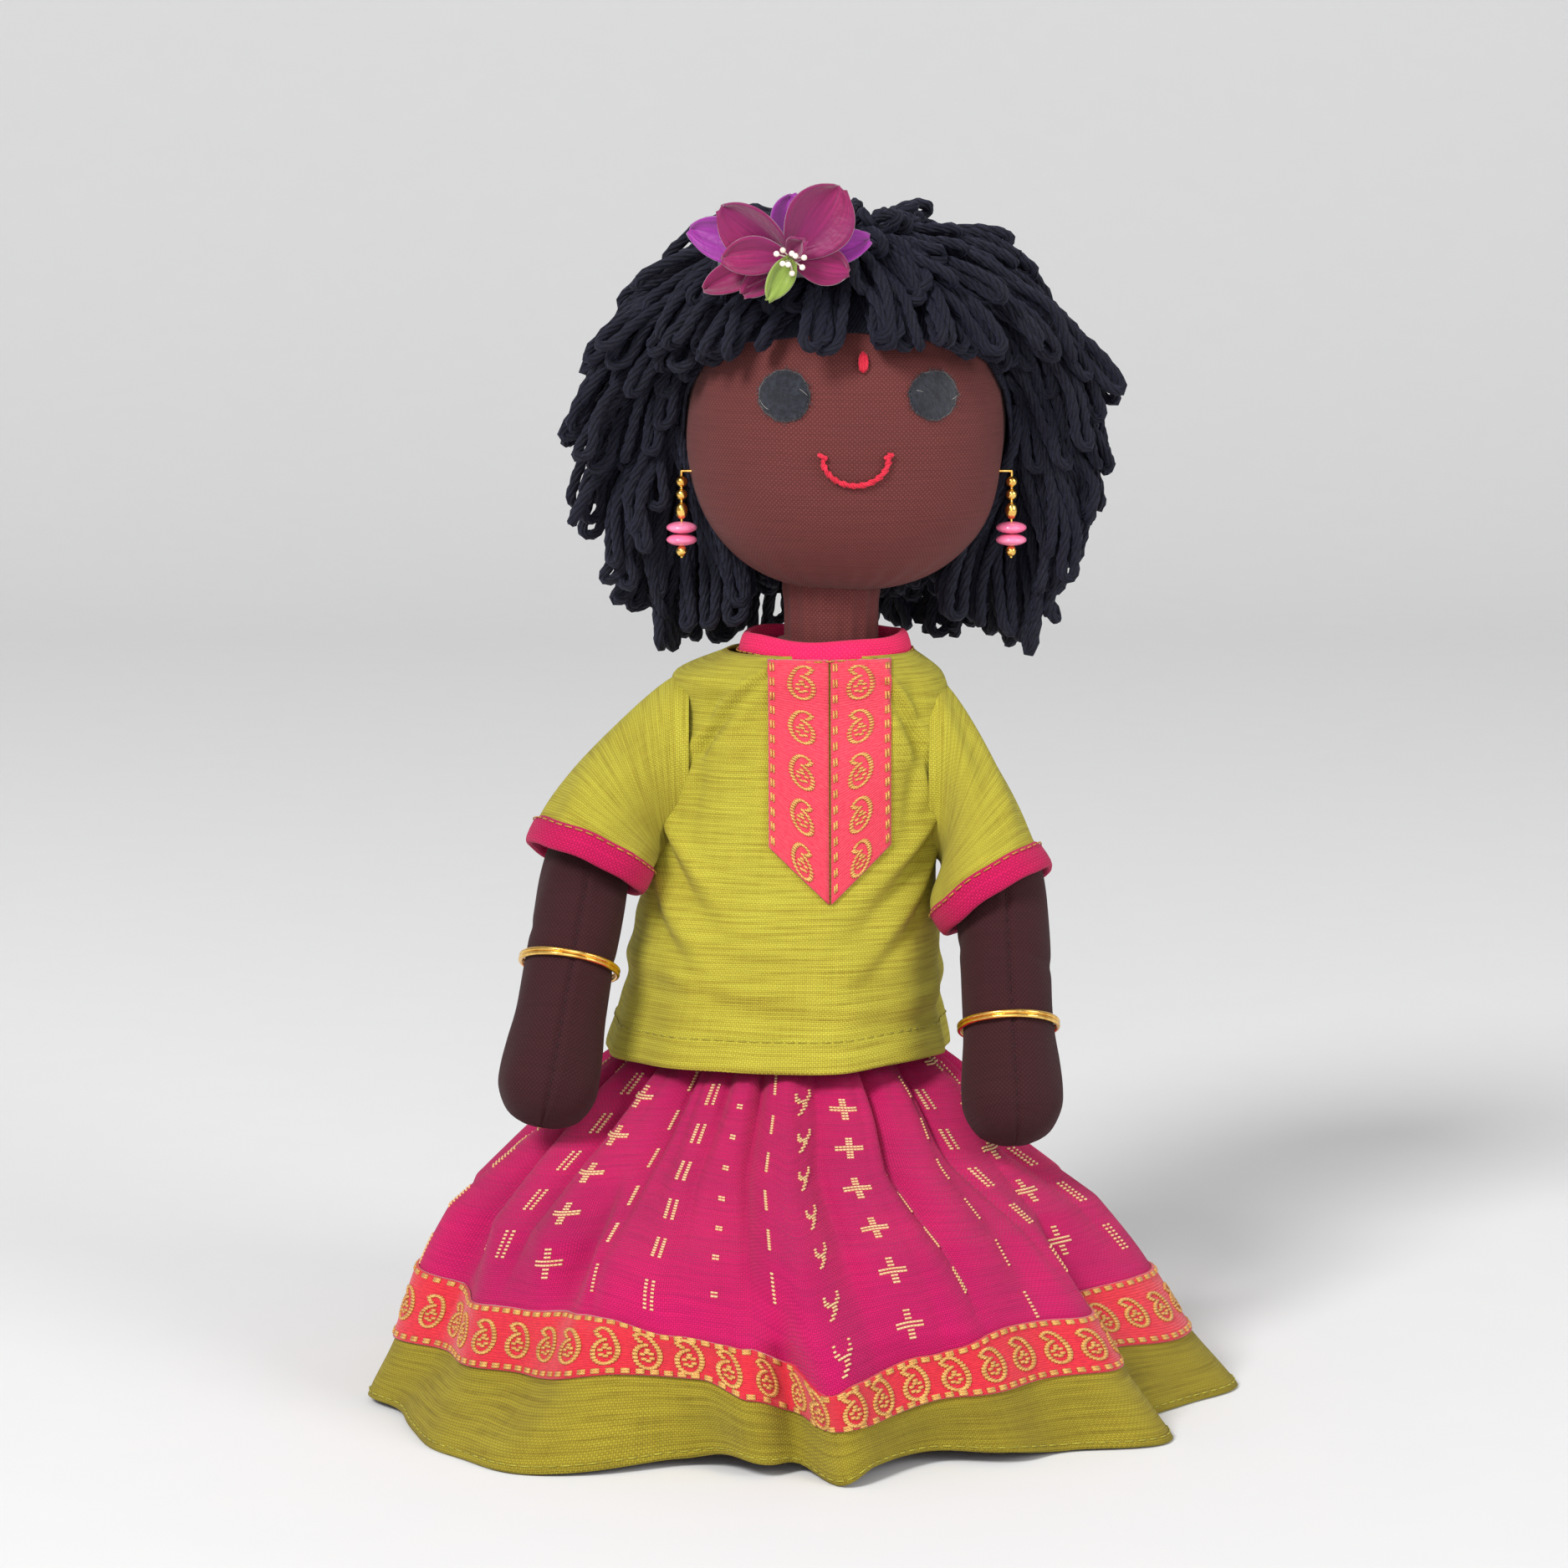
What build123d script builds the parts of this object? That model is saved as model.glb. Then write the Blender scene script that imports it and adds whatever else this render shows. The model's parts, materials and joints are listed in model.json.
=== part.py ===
from build123d import *
import math
import os

# A stuffed cloth doll that sits with its legs forward under a gathered skirt.
# +Z is up and the doll faces -Y. The origin is on the floor, under the seat.
# "left" and "right" are the doll's own: its left hand is on the +X side.

# ---- driving dimensions, mm ----
CLOTH = 1.0                     # modelled thickness of sewn cloth
LAYER_GAP = 0.15                # air between a cover and the stuffing inside it
BODY_GAP = 0.3                  # least air between pieces that move apart

SEAT_CENTRE = (-7.0, 6.0)
WAIST_Z = 88.0
BLOUSE_HEM_Z = 77.0
COLLAR_Z = 175.0
SHIN_RADIUS = 15.0
SNAP_RADIUS, SNAP_HEIGHT = 2.5, 1.2

NECK_CENTRE = (7.0, -1.0)
NECK_RADIUS = 11.6
NECK_BOTTOM, NECK_TOP = 178.4, 188.8
NECK_GAP = 5.0                  # room for the neck under the hair when the head tips back

HEAD_CENTRE = (10.6, -2.0, 229.5)
HEAD_RADII = (39.0, 36.0, 40.0)
HAIR_CENTRE = (6.5, 8.0, 230.0)
HAIR_RADII = (69.5, 53.0, 54.0)
FRINGE_Z = 248.0                # lower edge of the fringe on the forehead
FACE_EDGE_Y = 1.0               # the side hair starts behind this plane
CROWN_Z = 262.0

EYE_DIAMETER = 12.0
EYE_SPREAD = 17.6               # half the distance between the eye centres
EYE_Z = 238.5

ARM_RADIUS = 11.2
HAND_RADIUS = 12.2
WRIST_Z = 80.0                  # along the arm, where the forearm starts to widen to the hand
SHOULDER_RADIUS = 7.6
BANGLE_WIRE = 0.55              # radius of one bangle wire
BANGLE_CLEARANCE = 0.08

# Each arm: the top of the arm, the tip of the hand, the height of the bangle
# on its axis, and the armhole plane that keeps the arm clear of the blouse.
ARMS = {
    "left": dict(top=(46.6, -2.0, 155.0), tip=(50.5, -47.0, 61.0), bangle=75.0, armhole_x=38.2,
                 cuff=(46.6, -20.0, 116.0), cuff_tilt=34.0, side=1),
    "right": dict(top=(-46.4, -2.0, 157.0), tip=(-62.5, -45.0, 65.0), bangle=62.5, armhole_x=-38.2,
                  cuff=(-51.2, -18.0, 121.0), cuff_tilt=-36.0, side=-1),
}

# Each leg: the centre of the hip end and of the foot end.
LEGS = {
    "left": dict(hip=(10.0, -38.4), foot=(36.0, -80.0)),
    "right": dict(hip=(-24.0, -38.4), foot=(-44.0, -82.0)),
}

# Horizontal sections as (z, centre x, centre y, half width, half depth).
TORSO_SECTIONS = [
    (0, -7, 6, 29, 22), (6, -7, 6, 37, 28), (24, -7, 6, 40, 30), (50, -6.8, 4, 38, 28),
    (80, -6.2, -1, 33.6, 24.5), (122, -2.5, -1, 31.5, 23), (150, 1.5, -1, 31.5, 20.5),
    (162, 3.2, -1, 28, 17.5), (170, 4.7, -1, 20.5, 15), (175, 5.6, -1, 14.5, 12.6), (178, 6.2, -1, 12, 11.6),
]
BLOUSE_SECTIONS = [
    (BLOUSE_HEM_Z, -6.5, -4.5, 41, 34.5), (100, -4.7, -3, 38, 31), (122, -2.5, -2.5, 35.2, 28),
    (150, 1.5, -1.5, 36, 24.5), (162, 3.2, -1, 33, 21.5), (170, 4.6, -1.5, 26, 20),
    (COLLAR_Z, 5.5, -2, 20.2, 18.6),
]
SKIRT_SECTIONS = [
    (0, -0.5, -33.5, 99.5, 88.5), (14, -3, -33.5, 91.5, 86), (30, -5.5, -32, 83, 82),
    (45, -7.5, -26, 73, 70), (57, -9, -17, 57, 52), (68, -7, -6, 44, 36),
    (76, -6.3, -1, 37.2, 28.4), (WAIST_Z, -6, -1, 36.4, 27.6),
]
HEM_BAND_TOP = 14.0
TRIM_Z = (12.5, 25.0)
TRIM_THICKNESS = 0.7

# Beads of one earring from the top down: (height above the lowest bead, radius, half height).
GOLD_BEADS = [(16.8, 1.4, 1.4), (13.7, 1.4, 1.4), (9.8, 1.5, 2.1), (0.0, 1.35, 1.35)]
PINK_BEADS = [(5.7, 3.7, 1.45), (2.75, 3.7, 1.45)]
EARRING_WIRE = 0.35
BEAD_BORE = 0.45
EARRING_BOTTOM_Z = 199.5
EARRING_Y = -10.0
EARRING_PIVOT_Z = EARRING_BOTTOM_Z + 19.4

os.makedirs("parts", exist_ok=True)


def save(name, shape):
    export_step(shape, f"parts/{name}.step")


# ---- general shapes ----

def sectioned(sections, grow=0.0, reach=0.0):
    """A closed solid through horizontal ellipses, with straight sides between them.

    Its two ends are moved out by reach."""
    faces = []
    for index, (z, x, y, width, depth) in enumerate(sections):
        if index == 0:
            z -= reach
        if index == len(sections) - 1:
            z += reach
        faces.append(Pos(x, y, z) * Ellipse(width + grow, depth + grow))
    return loft(faces, ruled=True)


def sleeve_of(sections, wall=CLOTH, grow=0.0):
    """The wall between a sectioned solid and a smaller one inside it, open at both ends."""
    return sectioned(sections, grow) - sectioned(sections, grow - wall, reach=0.4)


def slab(z_low, z_high, size=400.0):
    return Pos(0, 0, (z_low + z_high) / 2) * Box(size, size, z_high - z_low)


def ellipsoid(centre, radii, grow=0.0):
    return Pos(*centre) * scale(Sphere(1), by=tuple(radius + grow for radius in radii))


def along(start, end):
    """A location at start whose +Z points at end, and the distance between them."""
    direction = Vector(*end) - Vector(*start)
    return Plane(origin=start, z_dir=direction).location, direction.length


def sum_of(shapes):
    total = shapes[0]
    for shape in shapes[1:]:
        total = total + shape
    return total


# ---- torso and neck ----

def torso():
    cover = sectioned(TORSO_SECTIONS)
    inner = [(z + 1.2 if z == 0 else z, x, y, a, b) for z, x, y, a, b in TORSO_SECTIONS]
    inner[-1] = (inner[-1][0] - 1.2, *inner[-1][1:])
    save("torso_cover", cover - sectioned(inner, grow=-CLOTH))
    stuffing = [(z + 1.4 if z == 0 else z, x, y, a, b) for z, x, y, a, b in TORSO_SECTIONS]
    stuffing[-1] = (stuffing[-1][0] - 1.4, *stuffing[-1][1:])
    save("torso_stuffing", sectioned(stuffing, grow=-CLOTH - LAYER_GAP))


def neck():
    height = NECK_TOP - NECK_BOTTOM
    place = Pos(*NECK_CENTRE, NECK_BOTTOM + height / 2)
    outer = fillet(Cylinder(NECK_RADIUS, height).edges(), 1.5)
    core = NECK_RADIUS - CLOTH
    save("neck_cover", place * (outer - Cylinder(core, height - 2 * CLOTH)))
    save("neck_stuffing", place * Cylinder(core - LAYER_GAP, height - 2 * CLOTH - 2 * LAYER_GAP))


# ---- blouse ----

def blouse():
    save("blouse_body", sleeve_of(BLOUSE_SECTIONS))
    collar = [(COLLAR_Z, 5.5, -2, 20.6, 19), (COLLAR_Z + 4.6, 5.9, -2, 19.4, 18)]
    save("blouse_neck_binding", sleeve_of(collar, wall=1.4))
    front = sectioned(BLOUSE_SECTIONS, grow=0.7) - sectioned(BLOUSE_SECTIONS, grow=0.1, reach=0.4)
    seam_x, half, top, shoulder, tip = 6.4, 14.6, COLLAR_Z - 0.2, 130.0, 116.0
    for side, name in ((1, "left"), (-1, "right")):
        outline = Polyline((0.1 * side, top), (half * side, top), (half * side, shoulder),
                           (0.1 * side, tip), close=True)
        ribbon = Pos(seam_x, -30, 0) * extrude(Plane.XZ * make_face(outline), 25, both=True)
        save(f"placket_ribbon_{name}", front & ribbon)
    snaps = [Pos(x, y + SNAP_HEIGHT, z) * Rot(90, 0, 0) * Cylinder(SNAP_RADIUS, SNAP_HEIGHT)
             for z, x, y in ((100, -4.7, 28.0), (122, -2.5, 25.5), (150, 1.5, 23.0))]
    save("blouse_back_snaps", Compound(children=snaps))


# ---- skirt ----

def skirt():
    wall = sleeve_of(SKIRT_SECTIONS)
    save("skirt_panel", wall & slab(HEM_BAND_TOP, 300))
    save("skirt_hem_band", wall & slab(-10, HEM_BAND_TOP - 0.02))
    skin = sleeve_of(SKIRT_SECTIONS, wall=TRIM_THICKNESS - 0.08, grow=TRIM_THICKNESS)
    save("skirt_trim_ribbon", skin & slab(*TRIM_Z))
    elastic = [(80, -6.2, -1, 35.7, 26.9), (WAIST_Z - 1, -6, -1, 35.2, 26.4)]
    save("skirt_waist_elastic", sleeve_of(elastic, wall=0.7))


# ---- legs ----

def leg(name, hip, foot):
    centre_z = SHIN_RADIUS + BODY_GAP
    place, length = along((*hip, centre_z), (*foot, centre_z))
    save(f"leg_{name}_cover", place * (capsule(SHIN_RADIUS, length) - capsule(SHIN_RADIUS - CLOTH, length)))
    save(f"leg_{name}_stuffing", place * capsule(SHIN_RADIUS - CLOTH - LAYER_GAP, length))


def capsule(radius, length):
    """A tube with round ends, whose end centres are at 0 and at length on Z."""
    body = Pos(0, 0, length / 2) * Cylinder(radius, length)
    return body + Sphere(radius) + Pos(0, 0, length) * Sphere(radius)


# ---- arms, sleeves and bangles ----

def arm_solid(length, shrink=0.0):
    """A stuffed arm along +Z from the shoulder: narrow top, even forearm, round mitten hand."""
    top, forearm, hand = SHOULDER_RADIUS - shrink, ARM_RADIUS - shrink, HAND_RADIUS - shrink
    tip_length = HAND_RADIUS + 3
    tip_start = length - tip_length
    shoulder_z, elbow_z = SHOULDER_RADIUS, 30.0
    parts = [
        Pos(0, 0, shoulder_z) * Sphere(top),
        Pos(0, 0, (shoulder_z + elbow_z) / 2) * Cone(top, forearm, elbow_z - shoulder_z),
        Pos(0, 0, (elbow_z + WRIST_Z) / 2) * Cylinder(forearm, WRIST_Z - elbow_z),
        Pos(0, 0, (WRIST_Z + tip_start) / 2) * Cone(forearm, hand, tip_start - WRIST_Z),
        Pos(0, 0, tip_start) * scale(Sphere(1), by=(hand, hand, tip_length - shrink)),
    ]
    return sum_of(parts)


def arm(name, spec):
    place, length = along(spec["top"], spec["tip"])
    save(f"arm_{name}_cover", place * (arm_solid(length) - arm_solid(length, CLOTH)))
    save(f"arm_{name}_stuffing", place * arm_solid(length, CLOTH + LAYER_GAP))


def sleeve(name, spec):
    place, length = along(spec["top"], spec["tip"])
    side = spec["side"]
    shapes = []
    for radius in (17.2, 16.6, 15.6):
        crown = Pos(0, 0, 10) * scale(Sphere(1), by=(radius, radius, radius + 6))
        tube = Pos(0, 0, 10 + 35) * Cylinder(radius, 70)
        shapes.append(place * (crown + tube))
    over, outer, inner = shapes
    armhole = Pos(spec["armhole_x"] + side * 60, 0, 120) * Box(120, 200, 300)
    cuff = Pos(*spec["cuff"]) * Rot(0, -spec["cuff_tilt"], 0)
    above = cuff * Pos(0, 0, 100) * Box(200, 200, 200)
    band = cuff * Pos(0, 0, -2.0) * Box(200, 200, 6.0)
    save(f"sleeve_{name}", (outer - inner) & armhole & above)
    save(f"sleeve_{name}_binding", ((over - inner) & armhole & band) - ((outer - inner) & above))


def bangle(name, spec):
    place, _ = along(spec["top"], spec["tip"])
    ring_radius = ARM_RADIUS + BANGLE_CLEARANCE + BANGLE_WIRE
    wires = [Pos(0, 0, spec["bangle"] + offset) * Torus(ring_radius, BANGLE_WIRE)
             for offset in (-BANGLE_WIRE * 0.9, BANGLE_WIRE * 0.9)]
    save(f"bangle_{name}", place * (wires[0] + wires[1]))


# ---- head, face and hair ----

def on_face(outline, thickness=0.6):
    """A thin piece that lies on the front of the head, cut to an outline in X and Z."""
    skin = ellipsoid(HEAD_CENTRE, HEAD_RADII, thickness) - ellipsoid(HEAD_CENTRE, HEAD_RADII, 0.02)
    return skin & (Pos(0, HEAD_CENTRE[1] - 40, 0) * extrude(Plane.XZ * outline, 30, both=True))


def head():
    outer = ellipsoid(HEAD_CENTRE, HEAD_RADII)
    save("head_cover", outer - ellipsoid(HEAD_CENTRE, HEAD_RADII, -CLOTH))
    save("head_stuffing", ellipsoid(HEAD_CENTRE, HEAD_RADII, -CLOTH - LAYER_GAP))
    centre_x = HEAD_CENTRE[0] + 2.6
    for side, name in ((1, "left"), (-1, "right")):
        eye = Pos(centre_x + side * EYE_SPREAD, EYE_Z) * Circle(EYE_DIAMETER / 2)
        save(f"eye_patch_{name}", on_face(eye))
    save("bindi_knot", on_face(Pos(centre_x + 1, 245.2) * Ellipse(1.1, 2.2), 1.2))
    smile = Circle(9.4) - Circle(7.8)
    smile = Pos(centre_x - 0.8, 224.0) * (smile & (Pos(0, -10) * Rectangle(30, 20)))
    save("mouth_stitch", on_face(smile, 0.9))


def hair():
    mass = ellipsoid(HAIR_CENTRE, HAIR_RADII) - ellipsoid(HEAD_CENTRE, HEAD_RADII, 0.02)
    face = Pos(HEAD_CENTRE[0], FACE_EDGE_Y - 100, FRINGE_Z - 100) * Box(300, 200, 200)
    collar = Cylinder(30, 80, align=(Align.CENTER, Align.CENTER, Align.MAX))
    mass = mass - face - Pos(*NECK_CENTRE, NECK_TOP + NECK_GAP) * collar
    front = Pos(0, FACE_EDGE_Y - 100, 0) * Box(400, 200, 800)
    crown = mass & slab(CROWN_Z, 400)
    lower = mass & slab(0, CROWN_Z - 0.05)
    save("hair_crown", crown - hairclip())
    save("hair_fringe", (lower & front) - hairclip())
    behind = lower & (Pos(0, FACE_EDGE_Y + 0.05 + 100, 0) * Box(400, 200, 800))
    split_x = 26.0
    middle = Pos(HEAD_CENTRE[0], 0, 0) * Box(2 * split_x, 800, 800)
    save("hair_back", behind & middle)
    for side, name in ((1, "left"), (-1, "right")):
        outside = Pos(HEAD_CENTRE[0] + side * (split_x + 0.05 + 100), 0, 0) * Box(200, 800, 800)
        save(f"hair_{name}", behind & outside)


# ---- flower ----

FLOWER_CENTRE = (-6.0, -41.0, 267.0)


def hairclip():
    x, y, z = FLOWER_CENTRE
    return Pos(x + 1, y + 9.5, z + 2) * Rot(40, 0, 0) * Box(30, 5, 3.2)


def petal(angle, length, width, tilt, thickness=1.3):
    """A cupped oval petal that leaves the flower's centre at an angle in the X-Z plane."""
    leaf = scale(Sphere(1), by=(length / 2, thickness / 2, width / 2))
    return Pos(*FLOWER_CENTRE) * Rot(0, -angle, 0) * Rot(0, 0, -tilt) * Pos(length / 2 - 1, 0, 0) * leaf


def flower():
    back = [(48, 29, 17, 8), (158, 26, 16, 8), (128, 25, 12, 14), (205, 22, 12, 14), (10, 24, 11, 12)]
    front = [(90, 15, 9, 22), (228, 17, 11, 20), (182, 15, 11, 26), (60, 13, 8, 30)]
    x, y, z = FLOWER_CENTRE
    button = Pos(x, y, z) * scale(Sphere(1), by=(4, 3.2, 4))
    rear = sum_of([petal(*values) for values in back]) + button
    fore = Pos(0, -3.4, 0) * (sum_of([petal(*values) for values in front]))
    save("flower_petals_back", rear - hairclip())
    save("flower_petals_front", fore - rear)
    leaf = Pos(0, -1.6, 0) * petal(-62, 16, 7, 4, 1.2)
    save("flower_leaf", leaf - rear - fore)
    stamens = [Pos(x + 2.6 * math.cos(turn), y - 7.6, z - 1 + 2.6 * math.sin(turn)) * Sphere(0.8)
               for turn in (0.3, 1.5, 2.7, 3.9, 5.1)]
    save("flower_stamens", Compound(children=stamens))
    save("flower_clip", hairclip())


# ---- earrings ----

def bead(z, radius, half_height):
    solid = scale(Sphere(1), by=(radius, radius, half_height))
    return Pos(0, 0, z) * (solid - Cylinder(BEAD_BORE, 2 * half_height + 1))


def earring(name, side):
    edge = HEAD_CENTRE[0] + side * 36.4
    x = edge + side * 3.4
    base = Pos(x, EARRING_Y, EARRING_BOTTOM_Z)
    hook_z = EARRING_PIVOT_Z - EARRING_BOTTOM_Z
    drop = Pos(0, 0, (hook_z - 1.6) / 2) * Cylinder(EARRING_WIRE, hook_z + 1.6)
    post = Pos(-side * 1.4, 0, hook_z) * Rot(0, 90, 0) * Cylinder(EARRING_WIRE, 3.1)
    save(f"earring_{name}_wire", base * (drop + post))
    save(f"earring_{name}_gold_beads", base * Compound(children=[bead(*values) for values in GOLD_BEADS]))
    save(f"earring_{name}_pink_beads", base * Compound(children=[bead(*values) for values in PINK_BEADS]))


torso()
neck()
blouse()
skirt()
for leg_name, leg_spec in LEGS.items():
    leg(leg_name, **leg_spec)
for arm_name, arm_spec in ARMS.items():
    arm(arm_name, arm_spec)
    sleeve(arm_name, arm_spec)
    bangle(arm_name, arm_spec)
    earring(arm_name, arm_spec["side"])
head()
hair()
flower()
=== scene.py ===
import json
import math

import bpy
import numpy as np
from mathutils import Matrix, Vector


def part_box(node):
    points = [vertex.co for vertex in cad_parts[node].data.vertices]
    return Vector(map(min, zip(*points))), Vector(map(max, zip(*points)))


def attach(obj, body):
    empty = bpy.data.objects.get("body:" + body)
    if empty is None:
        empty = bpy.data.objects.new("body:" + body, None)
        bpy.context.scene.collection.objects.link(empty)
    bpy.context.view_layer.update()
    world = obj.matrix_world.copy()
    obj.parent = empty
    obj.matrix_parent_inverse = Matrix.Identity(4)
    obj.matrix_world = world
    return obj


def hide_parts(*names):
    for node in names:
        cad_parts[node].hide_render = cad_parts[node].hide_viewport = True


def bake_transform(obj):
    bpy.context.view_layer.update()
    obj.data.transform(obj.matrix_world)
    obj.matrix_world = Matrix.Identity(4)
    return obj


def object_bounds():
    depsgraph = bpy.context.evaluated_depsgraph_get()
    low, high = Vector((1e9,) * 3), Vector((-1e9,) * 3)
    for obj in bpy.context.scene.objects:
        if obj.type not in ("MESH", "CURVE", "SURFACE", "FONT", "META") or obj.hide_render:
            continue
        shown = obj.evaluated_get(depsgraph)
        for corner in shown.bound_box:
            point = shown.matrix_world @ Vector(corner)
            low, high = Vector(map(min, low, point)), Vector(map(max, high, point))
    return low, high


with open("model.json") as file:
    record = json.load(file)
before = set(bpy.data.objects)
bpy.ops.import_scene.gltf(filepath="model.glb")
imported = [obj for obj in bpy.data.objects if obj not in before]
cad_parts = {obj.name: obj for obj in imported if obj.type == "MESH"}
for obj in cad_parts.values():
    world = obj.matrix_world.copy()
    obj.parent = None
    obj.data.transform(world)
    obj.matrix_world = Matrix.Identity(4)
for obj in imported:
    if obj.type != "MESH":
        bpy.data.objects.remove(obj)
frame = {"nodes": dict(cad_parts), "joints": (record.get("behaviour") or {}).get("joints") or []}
cad_low, cad_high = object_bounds()

MM = 0.001                      # shapes below are worked out in millimetres


# ---------------------------------------------------------------- the frame, in millimetres

def box_mm(node):
    low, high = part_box(node)
    return np.array(low) / MM, np.array(high) / MM


def middle(node):
    low, high = box_mm(node)
    return (low + high) / 2


def half_size(node):
    low, high = box_mm(node)
    return (high - low) / 2


def joint(name):
    return next(j for j in frame["joints"] if j["name"] == name)


def joint_point(name):
    return np.array(joint(name)["pos_m"]) / MM


def section(node, z):
    """Centre and half sizes of a CAD node's outline at height z, as (cx, cy, ax, ay)."""
    mesh = frame["nodes"][node].data
    points = np.array([v.co for v in mesh.vertices]) / MM
    edges = np.array([e.vertices[:] for e in mesh.edges])
    a, b = points[edges[:, 0]], points[edges[:, 1]]
    crossing = (a[:, 2] - z) * (b[:, 2] - z) <= 0
    a, b = a[crossing], b[crossing]
    rise = np.where(np.abs(b[:, 2] - a[:, 2]) < 1e-9, 1, b[:, 2] - a[:, 2])
    cut = a + (b - a) * ((z - a[:, 2]) / rise)[:, None]
    low, high = cut[:, :2].min(0), cut[:, :2].max(0)
    return (*((low + high) / 2), *((high - low) / 2))


# ---------------------------------------------------------------- small maths

def smooth(t):
    t = np.clip(t, 0, 1)
    return t * t * (3 - 2 * t)


def bump(x, centre, width):
    """A soft hill of height 1 at centre."""
    return np.exp(-(((x - centre) / width) ** 2))


def wrap(angle):
    """An angle in degrees brought into -180..180."""
    return (np.asarray(angle) + 180.0) % 360.0 - 180.0


def periodic(keys, values, at):
    """Smooth closed interpolation of values given at increasing angles in degrees."""
    keys = np.asarray(keys, float)
    values = np.asarray(values, float)
    at = wrap(at)
    below = (np.searchsorted(keys, at, side="right") - 1) % len(keys)
    above = (below + 1) % len(keys)
    span = (keys[above] - keys[below]) % 360.0
    t = smooth(((at - keys[below]) % 360.0) / span)
    t = t.reshape(t.shape + (1,) * (values.ndim - 1))
    return values[below] * (1 - t) + values[above] * t


def catmull(points, count):
    """count points evenly spread along a smooth curve through the given points."""
    points = np.asarray(points, float)
    ends = np.vstack([2 * points[0] - points[1], points, 2 * points[-1] - points[-2]])
    out = []
    for i in range(len(points) - 1):
        p0, p1, p2, p3 = ends[i:i + 4]
        for t in np.linspace(0, 1, 12, endpoint=False):
            out.append(0.5 * (2 * p1 + (p2 - p0) * t + (2 * p0 - 5 * p1 + 4 * p2 - p3) * t * t
                              + (3 * p1 - p0 - 3 * p2 + p3) * t ** 3))
    out.append(points[-1])
    out = np.array(out)
    length = np.concatenate([[0], np.cumsum(np.linalg.norm(np.diff(out, axis=0), axis=1))])
    even = np.linspace(0, length[-1], count)
    return np.stack([np.interp(even, length, out[:, k]) for k in range(out.shape[1])], axis=1)


def waves(phi, seed, counts, amounts):
    """A sum of sines round an angle in degrees, with seeded phases."""
    phases = np.random.default_rng(seed).uniform(0, 2 * math.pi, len(counts))
    angle = np.radians(phi)
    return sum(a * np.sin(n * angle + p) for n, a, p in zip(counts, amounts, phases))


# ---------------------------------------------------------------- meshes

def new_object(name, vertices, faces, uvs, material):
    """A mesh object from points in mm, faces, and one UV pair in mm for each face corner."""
    mesh = bpy.data.meshes.new(name)
    mesh.from_pydata((np.asarray(vertices) * MM).tolist(), [], [list(map(int, f)) for f in faces])
    layer = mesh.uv_layers.new(name="UVMap")
    layer.data.foreach_set("uv", np.asarray(uvs, np.float32).ravel())
    mesh.polygons.foreach_set("use_smooth", [True] * len(mesh.polygons))
    mesh.materials.append(material)
    mesh.validate()
    obj = bpy.data.objects.new(name, mesh)
    bpy.context.scene.collection.objects.link(obj)
    return obj


def grid_normals(points, closed):
    """Unit normals of a grid of points, rows downwards and columns round."""
    if closed:
        along = np.roll(points, -1, 1) - np.roll(points, 1, 1)
    else:
        along = np.gradient(points, axis=1)
    down = np.gradient(points, axis=0)
    normal = np.cross(down, along)
    return normal / np.maximum(np.linalg.norm(normal, axis=2, keepdims=True), 1e-9)


def flat_lengths(points, closed):
    """UV in mm: columns by the widest row's mean spacing, rows by mean distance down."""
    rows, columns = points.shape[:2]
    across = np.roll(points, -1, 1) - points if closed else np.diff(points, axis=1)
    width = np.linalg.norm(across, axis=2).sum(1).max()
    down = np.linalg.norm(np.diff(points, axis=0), axis=2).mean(1)
    v = np.concatenate([[0], np.cumsum(down)])
    u = np.linspace(0, width, columns + 1 if closed else columns)
    return u, v


def cloth(name, points, material, thickness=0.8, closed=True):
    """A cloth of real thickness: the grid of points is its outer face, closed round or open."""
    rows, columns = points.shape[:2]
    normal = grid_normals(points, closed)
    inner = points - normal * thickness
    u, v = flat_lengths(points, closed)
    vertices = np.concatenate([points.reshape(-1, 3), inner.reshape(-1, 3)])
    count = rows * columns
    faces, uvs = [], []

    def at(i, j, layer=0):
        return layer * count + i * columns + j % columns

    last = columns if closed else columns - 1
    for i in range(rows - 1):
        for j in range(last):
            corner = [(i, j), (i + 1, j), (i + 1, j + 1), (i, j + 1)]
            faces.append([at(a, b) for a, b in corner])
            uvs += [(u[b], v[a]) for a, b in corner]
            corner = corner[::-1]
            faces.append([at(a, b, 1) for a, b in corner])
            uvs += [(u[b], v[a]) for a, b in corner]
    for i, flip in ((0, False), (rows - 1, True)):
        for j in range(last):
            ring = [(j, 0), (j + 1, 0), (j + 1, 1), (j, 1)]
            ring = ring[::-1] if flip else ring
            faces.append([at(i, b, layer) for b, layer in ring])
            uvs += [(u[b], v[i] + layer * thickness) for b, layer in ring]
    if not closed:
        for j, flip in ((0, True), (columns - 1, False)):
            for i in range(rows - 1):
                ring = [(i, 0), (i + 1, 0), (i + 1, 1), (i, 1)]
                ring = ring[::-1] if flip else ring
                faces.append([at(a, j, layer) for a, layer in ring])
                uvs += [(u[j] + layer * thickness, v[a]) for a, layer in ring]
    return new_object(name, vertices, faces, uvs, material)


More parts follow.
